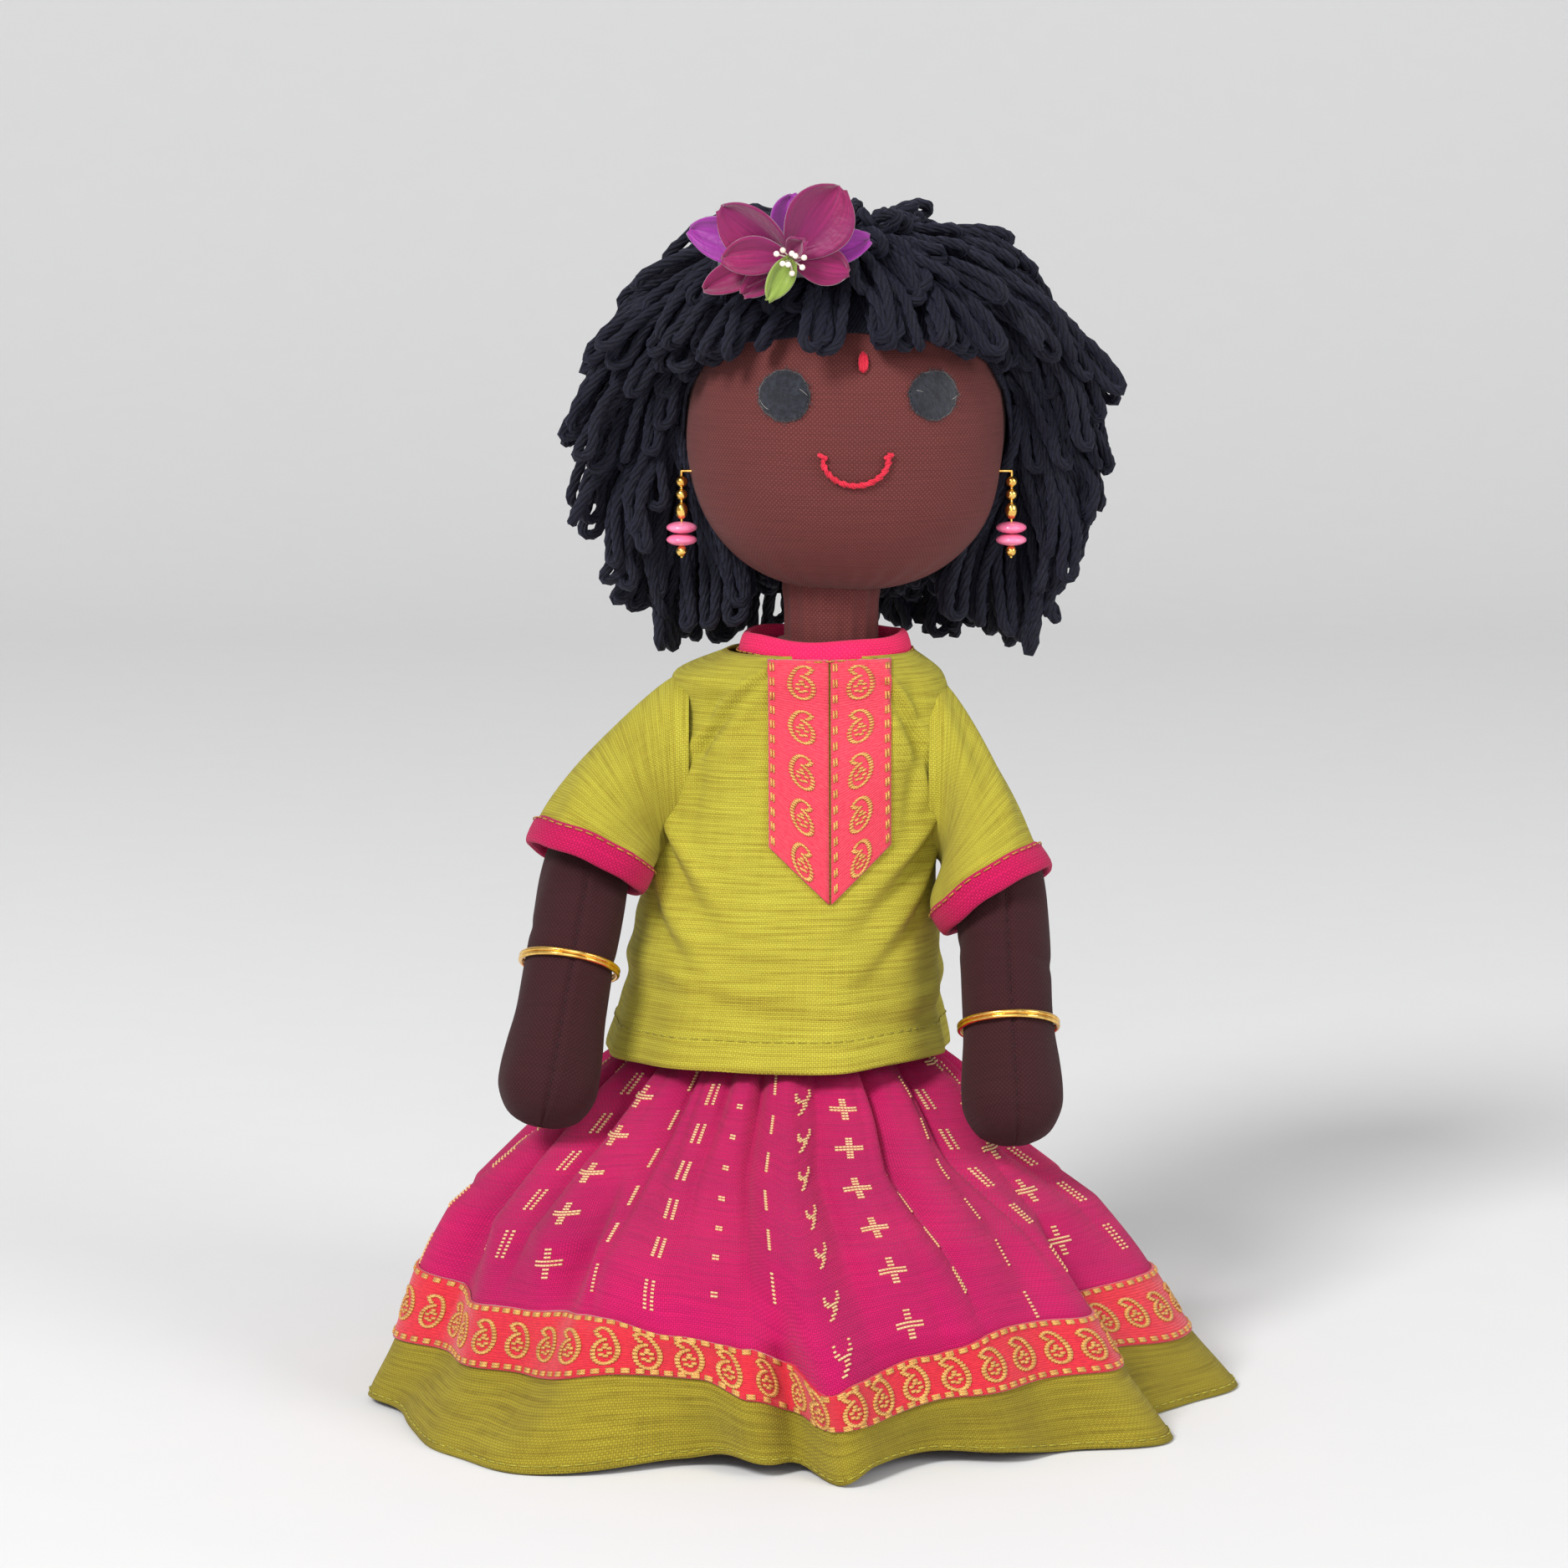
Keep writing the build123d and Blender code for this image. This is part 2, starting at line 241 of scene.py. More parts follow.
def skin(name, points, material):
    """A closed stuffed form: rings of points, drawn together at both ends."""
    rows, columns = points.shape[:2]
    u, v = flat_lengths(points, True)
    vertices = np.concatenate([points.reshape(-1, 3), [points[0].mean(0), points[-1].mean(0)]])
    top, bottom = rows * columns, rows * columns + 1
    faces, uvs = [], []
    for j in range(columns):
        faces.append([top, j, (j + 1) % columns])
        uvs += [(u[j], v[0]), (u[j], v[0]), (u[j + 1], v[0])]
        base = (rows - 1) * columns
        faces.append([bottom, base + (j + 1) % columns, base + j])
        uvs += [(u[j], v[-1]), (u[j + 1], v[-1]), (u[j], v[-1])]
        for i in range(rows - 1):
            corner = [(i, j), (i + 1, j), (i + 1, j + 1), (i, j + 1)]
            faces.append([a * columns + b % columns for a, b in corner])
            uvs += [(u[b], v[a]) for a, b in corner]
    return new_object(name, vertices, faces, uvs, material)


def carry(tangents):
    """Side vectors carried along many paths at once without twisting: (paths, points, 3)."""
    first = tangents[:, 0]
    helper = np.where(np.abs(first[:, 2:3]) < 0.8, [[0, 0, 1.0]], [[1.0, 0, 0]])
    side = np.cross(first, helper)
    sides = []
    for k in range(tangents.shape[1]):
        t = tangents[:, k]
        side = side - t * (side * t).sum(1, keepdims=True)
        side = side / np.maximum(np.linalg.norm(side, axis=1, keepdims=True), 1e-9)
        sides.append(side)
    return np.stack(sides, 1)


def tubes(name, paths, radius, material, sides=8, ply=0, ply_depth=0.12, pitch=8.0):
    """Round threads along paths of equal point count, closed at both ends.

    ply twists that many strands into each thread. radius is a number or one for each path point."""
    paths = np.asarray(paths, float)
    many, count = paths.shape[:2]
    tangents = np.gradient(paths, axis=1)
    tangents /= np.maximum(np.linalg.norm(tangents, axis=2, keepdims=True), 1e-9)
    side = carry(tangents)
    other = np.cross(side, tangents)
    step = np.linalg.norm(np.diff(paths, axis=1), axis=2)
    run = np.concatenate([np.zeros((many, 1)), np.cumsum(step, 1)], 1)
    angle = np.arange(sides) * 2 * math.pi / sides
    radii = np.broadcast_to(radius, (many, count))[:, :, None] * np.ones(sides)
    if ply:
        twist = run[:, :, None] * 2 * math.pi / pitch
        radii = radii * (1 + ply_depth * np.cos(ply * (angle - twist)))
    ring = (paths[:, :, None] + radii[..., None] * (np.cos(angle)[:, None] * side[:, :, None]
            + np.sin(angle)[:, None] * other[:, :, None]))
    vertices = ring.reshape(-1, 3)
    base = (np.arange(many)[:, None, None] * count + np.arange(count - 1)[None, :, None]) * sides
    near = base + np.arange(sides)
    far = base + (np.arange(sides) + 1) % sides
    quads = np.stack([near, near + sides, far + sides, far], -1).reshape(-1, 4)
    around = 2 * math.pi * float(np.mean(radius)) / sides
    u0 = np.broadcast_to(np.arange(sides) * around, near.shape)
    v0 = np.broadcast_to(run[:, :-1, None], near.shape)
    v1 = np.broadcast_to(run[:, 1:, None], near.shape)
    uv = np.stack([np.stack([u0, v0], -1), np.stack([u0, v1], -1),
                   np.stack([u0 + around, v1], -1), np.stack([u0 + around, v0], -1)], 3)
    faces = quads.tolist()
    uvs = uv.reshape(-1, 2).tolist()
    for k in range(many):
        start = k * count * sides
        end = start + (count - 1) * sides
        faces.append([start + s for s in range(sides)])
        faces.append([end + s for s in range(sides)][::-1])
        uvs += [(0.0, 0.0)] * (2 * sides)
    return new_object(name, vertices, faces, uvs, material)


def belongs(piece, slot, body, *nodes):
    """Gives a piece the body it moves with and hides the CAD nodes it stands for; slot is not used."""
    if nodes:
        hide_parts(*nodes)
    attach(piece, body)


# ---------------------------------------------------------------- materials

def colour(red, green, blue):
    """A colour given in 0..255 display values, as Blender's linear RGBA."""
    def linear(c):
        c /= 255
        return c / 12.92 if c <= 0.04045 else ((c + 0.055) / 1.055) ** 2.4
    return (linear(red), linear(green), linear(blue), 1.0)


class Shader:
    """A material's node tree, with short names for the nodes that cloth needs."""

    def __init__(self, name, roughness=0.8, sheen=0.0, metallic=0.0, coat=0.0):
        self.material = bpy.data.materials.new(name)
        self.material.use_nodes = True
        self.tree = self.material.node_tree
        self.bsdf = next(n for n in self.tree.nodes if n.type == "BSDF_PRINCIPLED")
        self.bsdf.inputs["Roughness"].default_value = roughness
        self.bsdf.inputs["Metallic"].default_value = metallic
        self.bsdf.inputs["Sheen Weight"].default_value = sheen
        self.bsdf.inputs["Sheen Roughness"].default_value = 0.5
        self.bsdf.inputs["Coat Weight"].default_value = coat
        self.bsdf.inputs["Specular IOR Level"].default_value = 0.5 if metallic or coat else 0.18
        uv = self.tree.nodes.new("ShaderNodeUVMap")
        uv.uv_map = "UVMap"
        split = self.node("ShaderNodeSeparateXYZ", uv.outputs[0])
        self.uv, self.u, self.v = uv.outputs[0], split.outputs[0], split.outputs[1]
        self.place = self.tree.nodes.new("ShaderNodeTexCoord").outputs["Object"]

    def node(self, kind, *inputs, **settings):
        made = self.tree.nodes.new(kind)
        for key, value in settings.items():
            setattr(made, key, value)
        for socket, value in zip(made.inputs, inputs):
            self.put(socket, value)
        return made

    def put(self, socket, value):
        if isinstance(value, bpy.types.NodeSocket):
            self.tree.links.new(value, socket)
        elif value is not None:
            socket.default_value = value

    def maths(self, operation, *values):
        return self.node("ShaderNodeMath", *values, operation=operation).outputs[0]

    def stretched(self, across, down):
        """UV in mm scaled by a number each way, for threads and slubs."""
        return self.node("ShaderNodeVectorMath", self.uv, (across, down, 1.0), operation="MULTIPLY").outputs[0]

    def noise(self, vector, scale, detail=3.0, roughness=0.55):
        made = self.node("ShaderNodeTexNoise", vector)
        made.inputs["Scale"].default_value = scale
        made.inputs["Detail"].default_value = detail
        made.inputs["Roughness"].default_value = roughness
        return made.outputs["Fac"]

    def ramp(self, value, low, high):
        """value brought from low..high to 0..1."""
        return self.node("ShaderNodeMapRange", value, low, high).outputs[0]

    def mix(self, amount, first, second):
        made = self.tree.nodes.new("ShaderNodeMix")
        made.data_type = "RGBA"
        self.put(made.inputs[0], amount)
        self.put(made.inputs[6], first)
        self.put(made.inputs[7], second)
        return made.outputs[2]

    def finish(self, base, height=None, depth=0.0002, strength=0.7):
        self.put(self.bsdf.inputs["Base Color"], base)
        if height is not None:
            made = self.node("ShaderNodeBump")
            made.inputs["Strength"].default_value = strength
            made.inputs["Distance"].default_value = depth
            self.put(made.inputs["Height"], height)
            self.tree.links.new(made.outputs[0], self.bsdf.inputs["Normal"])
        return self.material


def woven(name, warp, weft, shade, pitch=0.75, slub=0.5, sheen=0.25, roughness=0.85, patchy=0.35,
          depth=0.00022):
    """Plain-woven cotton: crossing threads, uneven slubs along the weft, faint patches, and painted shade in the gaps
    between threads.
    """
    s = Shader(name, roughness=roughness, sheen=sheen)
    wobble = s.maths("MULTIPLY", s.noise(s.stretched(0.05, 0.05), 1.0), pitch * 3)
    across = s.maths("SINE", s.maths("MULTIPLY", s.maths("ADD", s.u, wobble), math.pi / pitch))
    down = s.maths("SINE", s.maths("MULTIPLY", s.maths("ADD", s.v, wobble), math.pi / pitch))
    over = s.ramp(s.maths("MULTIPLY", across, down), -0.12, 0.12)
    warp_height = s.maths("MULTIPLY", s.maths("ABSOLUTE", across), over)
    weft_height = s.maths("MULTIPLY", s.maths("ABSOLUTE", down), s.maths("SUBTRACT", 1.0, over))
    threads = s.maths("ADD", warp_height, weft_height)
    slubs = s.ramp(s.noise(s.stretched(0.045, 1.25), 1.0, 4.0), 0.42, 0.72)
    streaks = s.ramp(s.noise(s.stretched(1.1, 0.03), 1.0, 3.0), 0.35, 0.75)
    patches = s.ramp(s.noise(s.place, 22.0, 4.0), 0.3, 0.72)
    base = s.mix(over, weft, warp)
    base = s.mix(s.maths("MULTIPLY", slubs, slub), base, shade)
    base = s.mix(s.maths("MULTIPLY", streaks, slub * 0.4), base, warp)
    base = s.mix(s.maths("MULTIPLY", patches, patchy), base, shade)
    # painted shade: the colour darkens where the threads dip, in the gaps between them
    gap = s.ramp(threads, 0.1, 0.75)
    dark = s.node("ShaderNodeHueSaturation")
    dark.inputs["Value"].default_value = 0.55
    s.put(dark.inputs["Color"], base)
    base = s.mix(gap, dark.outputs[0], base)
    height = s.maths("ADD", threads, s.maths("MULTIPLY", slubs, 0.7))
    return s.finish(base, height, depth)


def make_yarn():
    """Blue-black spun yarn, its fibres running round the strand at a slant."""
    s = Shader("black_yarn_material", roughness=0.7, sheen=0.18)
    s.bsdf.inputs["Sheen Tint"].default_value = colour(120, 125, 160)
    slant = s.maths("ADD", s.maths("MULTIPLY", s.u, 2.2), s.v)
    ply = s.maths("ABSOLUTE", s.maths("SINE", s.maths("MULTIPLY", slant, math.pi / 3.1)))
    fibre = s.noise(s.stretched(2.6, 0.9), 1.0, 5.0, 0.7)
    tone = s.noise(s.place, 60.0, 2.0)
    base = s.mix(s.ramp(fibre, 0.35, 0.8), colour(9, 9, 14), colour(46, 46, 62))
    base = s.mix(s.ramp(tone, 0.3, 0.75), base, colour(20, 20, 34))
    # painted shade: near-black in the grooves between the plies
    base = s.mix(s.ramp(ply, 0.0, 0.55), colour(5, 5, 8), base)
    height = s.maths("ADD", ply, s.maths("MULTIPLY", fibre, 0.6))
    return s.finish(base, height, 0.0004, 0.9)


def make_felt(name, dark, light):
    s = Shader(name, roughness=0.95, sheen=0.4)
    fuzz = s.noise(s.place, 900.0, 5.0, 0.7)
    clumps = s.noise(s.place, 260.0, 3.0)
    base = s.mix(s.ramp(fuzz, 0.35, 0.7), dark, light)
    base = s.mix(s.ramp(clumps, 0.4, 0.8), base, dark)
    return s.finish(base, fuzz, 0.0003, 0.9)


def make_thread(name, light, dark, metallic=0.0, roughness=0.5, scale=1.3):
    """Twisted embroidery thread, with the strands' slant as bump and as painted shade and highlight: lighter on the
    strands' crowns, darker in the grooves between them.
    """
    s = Shader(name, roughness=roughness, sheen=0.1, metallic=metallic)
    slant = s.maths("ADD", s.maths("MULTIPLY", s.u, 1.4), s.v)
    strand = s.maths("ABSOLUTE", s.maths("SINE", s.maths("MULTIPLY", slant, math.pi * scale)))
    uneven = s.noise(s.place, 500.0, 3.0)
    # painted shade and highlight: dark in the grooves between strands, light on their crowns
    base = s.mix(s.maths("MULTIPLY", strand, s.ramp(uneven, 0.2, 0.7)), dark, light)
    return s.finish(base, strand, 0.00012, 0.8)


def make_petal(name, deep, bright, under):
    """Dyed satin: long soft veins along the petal, with soft clouds of a third tone."""
    s = Shader(name, roughness=0.42, sheen=0.5)
    veins = s.noise(s.stretched(1.1, 0.06), 1.0, 4.0, 0.6)
    clouds = s.noise(s.place, 55.0, 3.0)
    base = s.mix(s.ramp(veins, 0.3, 0.75), deep, bright)
    base = s.mix(s.maths("MULTIPLY", s.ramp(clouds, 0.4, 0.75), 0.8), base, under)
    return s.finish(base, s.maths("ADD", veins, s.noise(s.place, 700.0, 2.0)), 0.0003, 0.5)


def make_metal(name, light, dark, roughness):
    s = Shader(name, roughness=roughness, metallic=1.0)
    wear = s.noise(s.place, 420.0, 4.0)
    base = s.mix(s.ramp(wear, 0.35, 0.7), light, dark)
    return s.finish(base, wear, 0.00006, 0.5)


def make_gloss(name, light, dark):
    s = Shader(name, roughness=0.28, coat=0.35)
    cloud = s.noise(s.place, 300.0, 3.0)
    base = s.mix(s.ramp(cloud, 0.35, 0.7), light, dark)
    return s.finish(base, cloud, 0.00005, 0.4)


def make_ribbon(name, light, dark, pitch=0.62):
    """Woven ribbon with fine crosswise ribs."""
    s = Shader(name, roughness=0.62, sheen=0.3)
    ribs = s.maths("ABSOLUTE", s.maths("SINE", s.maths("MULTIPLY", s.v, math.pi / pitch)))
    cross = s.maths("ABSOLUTE", s.maths("SINE", s.maths("MULTIPLY", s.u, math.pi / (pitch * 0.8))))
    grain = s.noise(s.stretched(0.6, 1.9), 1.0, 4.0)
    patches = s.noise(s.place, 40.0, 3.0)
    base = s.mix(s.ramp(grain, 0.3, 0.75), dark, light)
    base = s.mix(s.maths("MULTIPLY", s.ramp(patches, 0.4, 0.7), 0.35), base, dark)
    # painted shade: dark in the grooves between the ribs
    base = s.mix(s.ramp(ribs, 0.0, 0.35), dark, base)
    height = s.maths("ADD", ribs, s.maths("MULTIPLY", cross, 0.4))
    return s.finish(base, height, 0.00016, 0.8)


BROWN = woven("brown_cotton_material", colour(120, 62, 59), colour(98, 47, 46), colour(78, 36, 38),
              pitch=0.55, slub=0.3, sheen=0.06, patchy=0.25, depth=0.00012)
ARM_BROWN = woven("dark_brown_cotton_material", colour(68, 31, 34), colour(53, 22, 26), colour(42, 17, 22),
                  pitch=0.55, slub=0.3, sheen=0.05, patchy=0.3, depth=0.00012)
OLIVE = woven("olive_handloom_material", colour(208, 198, 74), colour(190, 182, 56), colour(152, 134, 38),
              pitch=0.5, slub=0.9, sheen=0.05, patchy=0.4)
HEM_GREEN = woven("hem_green_material", colour(176, 160, 48), colour(156, 140, 38), colour(124, 106, 28),
                  pitch=0.5, slub=0.9, sheen=0.05, patchy=0.45)
MAGENTA = woven("magenta_cotton_material", colour(226, 24, 108), colour(206, 12, 92), colour(160, 8, 84),
                pitch=0.5, slub=0.5, sheen=0.08, patchy=0.6)
PINK_BINDING = woven("pink_binding_material", colour(255, 50, 110), colour(248, 34, 98), colour(216, 22, 86),
                     pitch=0.6, slub=0.3, sheen=0.08)
CUFF_BINDING = woven("cuff_binding_material", colour(214, 22, 92), colour(192, 12, 80), colour(158, 8, 72),
                     pitch=0.6, slub=0.3, sheen=0.08)
# painted shade: a darkened copy of the skirt's magenta, for the skirt's inside at the hem where shade falls
SHADED_INSIDE_MAGENTA = woven("magenta_inside_painted_shade_material", colour(96, 22, 62), colour(80, 18, 52), colour(60, 14, 40), slub=0.3)
RIBBON = make_ribbon("coral_ribbon_material", colour(244, 84, 98), colour(216, 48, 76))
TRIM = make_ribbon("trim_ribbon_material", colour(236, 52, 62), colour(194, 22, 50))
ZARI = make_thread("gold_zari_material", colour(246, 200, 116), colour(196, 134, 62), metallic=0.3, roughness=0.42)
PALE_ZARI = make_thread("pale_zari_material", colour(252, 226, 178), colour(228, 178, 120), metallic=0.1, roughness=0.5)
RED_THREAD = make_thread("red_thread_material", colour(244, 52, 78), colour(176, 20, 44))
OLIVE_THREAD = make_thread("olive_thread_material", colour(206, 198, 70), colour(140, 128, 36))
BROWN_THREAD = make_thread("brown_thread_material", colour(60, 34, 36), colour(34, 18, 20))
GOLD_STITCH = make_thread("gold_stitch_material", colour(222, 170, 70), colour(150, 100, 40))
WHITE_THREAD = make_thread("white_fibre_material", colour(220, 216, 206), colour(170, 166, 156))
YARN = make_yarn()
FELT = make_felt("charcoal_felt_material", colour(24, 25, 31), colour(52, 54, 64))
PETAL = make_petal("satin_petal_material", colour(92, 8, 52), colour(160, 20, 96), colour(118, 16, 84))
PETAL_PURPLE = make_petal("purple_petal_material", colour(110, 24, 112), colour(176, 56, 170), colour(136, 34, 140))
LEAF = make_petal("leaf_satin_material", colour(96, 120, 40), colour(160, 182, 84), colour(120, 140, 54))
GOLD = make_metal("gold_metal_material", colour(255, 214, 120), colour(222, 164, 74), 0.22)
STEEL = make_metal("steel_material", colour(190, 190, 196), colour(150, 150, 156), 0.3)
PINK = make_gloss("pink_bead_material", colour(250, 138, 176), colour(236, 104, 150))
STAMEN = make_gloss("stamen_material", colour(245, 238, 228), colour(226, 208, 190))
ELASTIC = make_ribbon("woven_elastic_material", colour(232, 232, 226), colour(196, 196, 190), pitch=0.9)


# ---------------------------------------------------------------- cloth helpers

class Fabric:
    """The outer face of a cloth, for laying threads and motifs on it."""

    def __init__(self, points, closed=True):
        self.points, self.closed = points, closed
        self.normals = grid_normals(points, closed)

    def read(self, grid, row, column):
        rows, columns = grid.shape[:2]
        row = np.clip(row, 0, rows - 1.001)
        if self.closed:
            column = np.mod(column, columns)
        else:
            column = np.clip(column, 0, columns - 1.001)
        i, j = np.floor(row).astype(int), np.floor(column).astype(int)
        a, b = (row - i)[..., None], (column - j)[..., None]
        j2 = (j + 1) % columns
        return ((grid[i, j] * (1 - b) + grid[i, j2] * b) * (1 - a)
                + (grid[i + 1, j] * (1 - b) + grid[i + 1, j2] * b) * a)

    def lay(self, row, column, across, down, lift=0.15):
        """Points reached from a grid place by going across and down the cloth in mm."""
        row, column = np.float64(row), np.float64(column)
        here = self.read(self.points, row, column)
        per_column = np.linalg.norm(self.read(self.points, row, column + 0.5) - here) * 2
        per_row = np.linalg.norm(self.read(self.points, row + 0.5, column) - here) * 2
        rows = row + np.asarray(down, float) / max(per_row, 1e-3)
        columns = column + np.asarray(across, float) / max(per_column, 1e-3)
        return self.read(self.points, rows, columns) + lift * self.read(self.normals, rows, columns)


def floats(name, strokes, radius, material):
    """Short threads from 3-point strokes, their ends tucked in and their middles proud."""
    return tubes(name, np.array(strokes), radius, material, sides=6)


def bitmap_strokes(fabric, row, column, bitmap, cell, cell_down):
    """One short weft float for each # of a small woven motif."""
    strokes = []
    height, width = len(bitmap), len(bitmap[0])
    for i, line in enumerate(bitmap):
        for j, mark in enumerate(line):
            if mark == "#":
                a = (j - (width - 1) / 2) * cell
                b = (i - (height - 1) / 2) * cell_down
                strokes.append(fabric.lay(row, column, [a - cell * 0.46, a, a + cell * 0.46], [b, b, b], 0.12))
    return strokes


def stitches(name, path, normals, length, gap, radius, material):
    """A running stitch along a path: dashes that dip into the cloth at their ends."""
    path = np.asarray(path, float)
    run = np.concatenate([[0], np.cumsum(np.linalg.norm(np.diff(path, axis=0), axis=1))])
    strokes = []
    start = gap / 2
    while start + length < run[-1]:
        at = start + np.array([0, 0.5, 1.0]) * length
        point = np.stack([np.interp(at, run, path[:, k]) for k in range(3)], 1)
        normal = np.stack([np.interp(at, run, normals[:, k]) for k in range(3)], 1)
        strokes.append(point + normal * np.array([[0.0], [radius * 0.9], [0.0]]))
        start += length + gap
    return floats(name, strokes, radius, material)


def row_path(fabric, row, lift=0.1):
    """The line along one whole row of a closed cloth, and its normals."""
    columns = np.arange(fabric.points.shape[1] + 1)
    rows = np.full(len(columns), float(row))
    normal = fabric.read(fabric.normals, rows, columns)
    return fabric.read(fabric.points, rows, columns) + normal * lift, normal


def rolled_band(name, centres, outward, upward, half_height, half_thick, material, profile=14):
    """A closed ring of folded binding round a line of centres."""
    angle = np.arange(profile) * 2 * math.pi / profile
    square = 0.7
    c = np.sign(np.cos(angle)) * np.abs(np.cos(angle)) ** square * half_thick
    s = np.sign(np.sin(angle)) * np.abs(np.sin(angle)) ** square * half_height
    points = centres[None] + c[:, None, None] * outward[None] + s[:, None, None] * upward[None]
    rows, columns = points.shape[:2]
    vertices = points.reshape(-1, 3)
    step = np.linalg.norm(np.roll(centres, -1, 0) - centres, axis=1)
    u = np.concatenate([[0], np.cumsum(step)])
    v = np.concatenate([[0], np.cumsum(np.linalg.norm(np.roll(points[:, 0], -1, 0) - points[:, 0], axis=1))])
    faces, uvs = [], []
    for i in range(rows):
        for j in range(columns):
            corner = [(i, j), (i, j + 1), (i + 1, j + 1), (i + 1, j)]
            faces.append([(a % rows) * columns + b % columns for a, b in corner])
            uvs += [(u[b], v[a]) for a, b in corner]
    return new_object(name, vertices, faces, uvs, material)


# ---------------------------------------------------------------- skirt

PANEL_TOP_Z = box_mm("skirt_panel")[1][2] - 1.5
HEM_LINE_Z = box_mm("blouse_body")[0][2]
SKIRT_COLUMNS = 420
TRIM_TOP, TRIM_BOTTOM = 0.70, 0.81      # how far down the skirt the ribbon lies
skirt_heights = np.arange(0.3, PANEL_TOP_Z + 1.0, 1.4)
skirt_sections = np.array([
    section("skirt_hem_band" if z < box_mm("skirt_hem_band")[1][2] - 0.2 else "skirt_panel", z)
    for z in skirt_heights
])


def skirt_outline(z):
    return [np.interp(z, skirt_heights, skirt_sections[:, k]) for k in range(4)]


def skirt_levels(phi):
    """Heights of the ribbon's two edges and the hem, which rise and fall round the skirt."""
    upper = periodic([-180, -120, -88, -61, -47, -27, -16, -5, 1, 5, 10, 22, 38, 60, 80, 120],
                     [29, 30, 33, 29.5, 30.5, 33.5, 31, 28.5, 24, 19.5, 22, 25, 29, 28, 29, 29], phi)
    lower = periodic([-180, -120, -80, -58, -43, -25, -13, -5, 1, 4, 9, 26, 45, 62, 80, 120],
                     [15, 15, 16, 16.7, 17.5, 22, 21.5, 18, 13.8, 12.2, 13.2, 16.5, 17.5, 17, 14.8, 15], phi)
    hem = periodic([-180, -120, -75, -50, -35, -17, -9, -2, 4, 10, 29, 40, 65, 120],
                   [0.4, 0.8, 1.6, 0.3, 0.4, 2.2, 4.2, 3.0, 0.3, 3.8, 3.0, 0.6, 0.4, 0.7], phi)
    return upper, lower, hem


SKIRT_RIDGES = [
    # height in mm, below 0 for a valley, angle, width in degrees, place down the skirt and its spread,
    # or None for one that runs down to the hem
    (6.2, -19, 12, 0.60, 0.12),
    (4.4, 25, 13, 0.57, 0.14),
    (-10.0, -37, 4.2, 0.52, 0.17),
    (3.6, -31, 4, 0.5, 0.18),
    (3.0, -44, 4.5, 0.48, 0.18),
    (-8.5, 0.5, 3.4, None, None),
    (4.8, 7.5, 4.5, None, None),
    (2.0, -6, 3.5, None, None),
    (-4.2, 47, 4, 0.5, 0.2),
    (2.4, 55, 5, 0.5, 0.2),
    (-3.8, -11, 3, 0.36, 0.15),
    (-3.4, 13, 3, 0.38, 0.17),
    (-3.0, -25, 2.6, 0.33, 0.12),
    (-2.6, 33, 3, 0.36, 0.14),
]


def skirt_folds(phi, v):
    """How far the cloth stands out from the plain cone: gathers, puffs, valleys and hem waves."""
    uneven = phi + 5 * np.sin(np.radians(3 * phi + 40)) + 2.6 * np.sin(np.radians(7 * phi + 110))
    depth = 1 + 0.45 * waves(phi, 2, [7, 11, 17], [0.6, 0.5, 0.4])
    gathers = np.abs(np.sin(np.radians(uneven * 10))) ** 0.65 - 0.64
    fine = np.abs(np.sin(np.radians(uneven * 25 + 30))) ** 0.8 - 0.6
    out = gathers * 9.0 * depth * smooth((v - 0.05) / 0.12) * (1 - smooth((v - 0.3) / 0.5))
    long_folds = np.abs(np.sin(np.radians(uneven * 5.5 + 25))) ** 0.7 - 0.65
    out += long_folds * 5.0 * smooth((v - 0.2) / 0.25) * (1 - smooth((v - 0.6) / 0.3))
    out += fine * 1.3 * smooth((v - 0.05) / 0.08) * (1 - smooth((v - 0.16) / 0.2))
    out += 1.8 * bump(v, 0.2, 0.07)
    broad = waves(phi, 3, [9, 13, 17], [1.6, 1.2, 0.7])
    away = 1 - 0.6 * bump(wrap(phi), 0, 60)
    out += broad * away * smooth((v - 0.2) / 0.5) * 2.5
    out += waves(phi, 11, [8, 12, 19, 27], [1.5, 1.1, 0.8, 0.4]) * smooth((v - 0.78) / 0.22)
    phi = wrap(phi)
    low = smooth((v - 0.45) / 0.25)
    for height, angle, width, level, spread in SKIRT_RIDGES:
        out += height * bump(phi, angle, width) * (low if level is None else bump(v, level, spread))
    flare = smooth((v - TRIM_BOTTOM) / (1 - TRIM_BOTTOM))
    out += flare * (13 * bump(phi, -46, 20) - 5 * bump(phi, -11, 7) - 5 * bump(phi, 18, 9) + 3 * bump(phi, 4, 4))
    return out


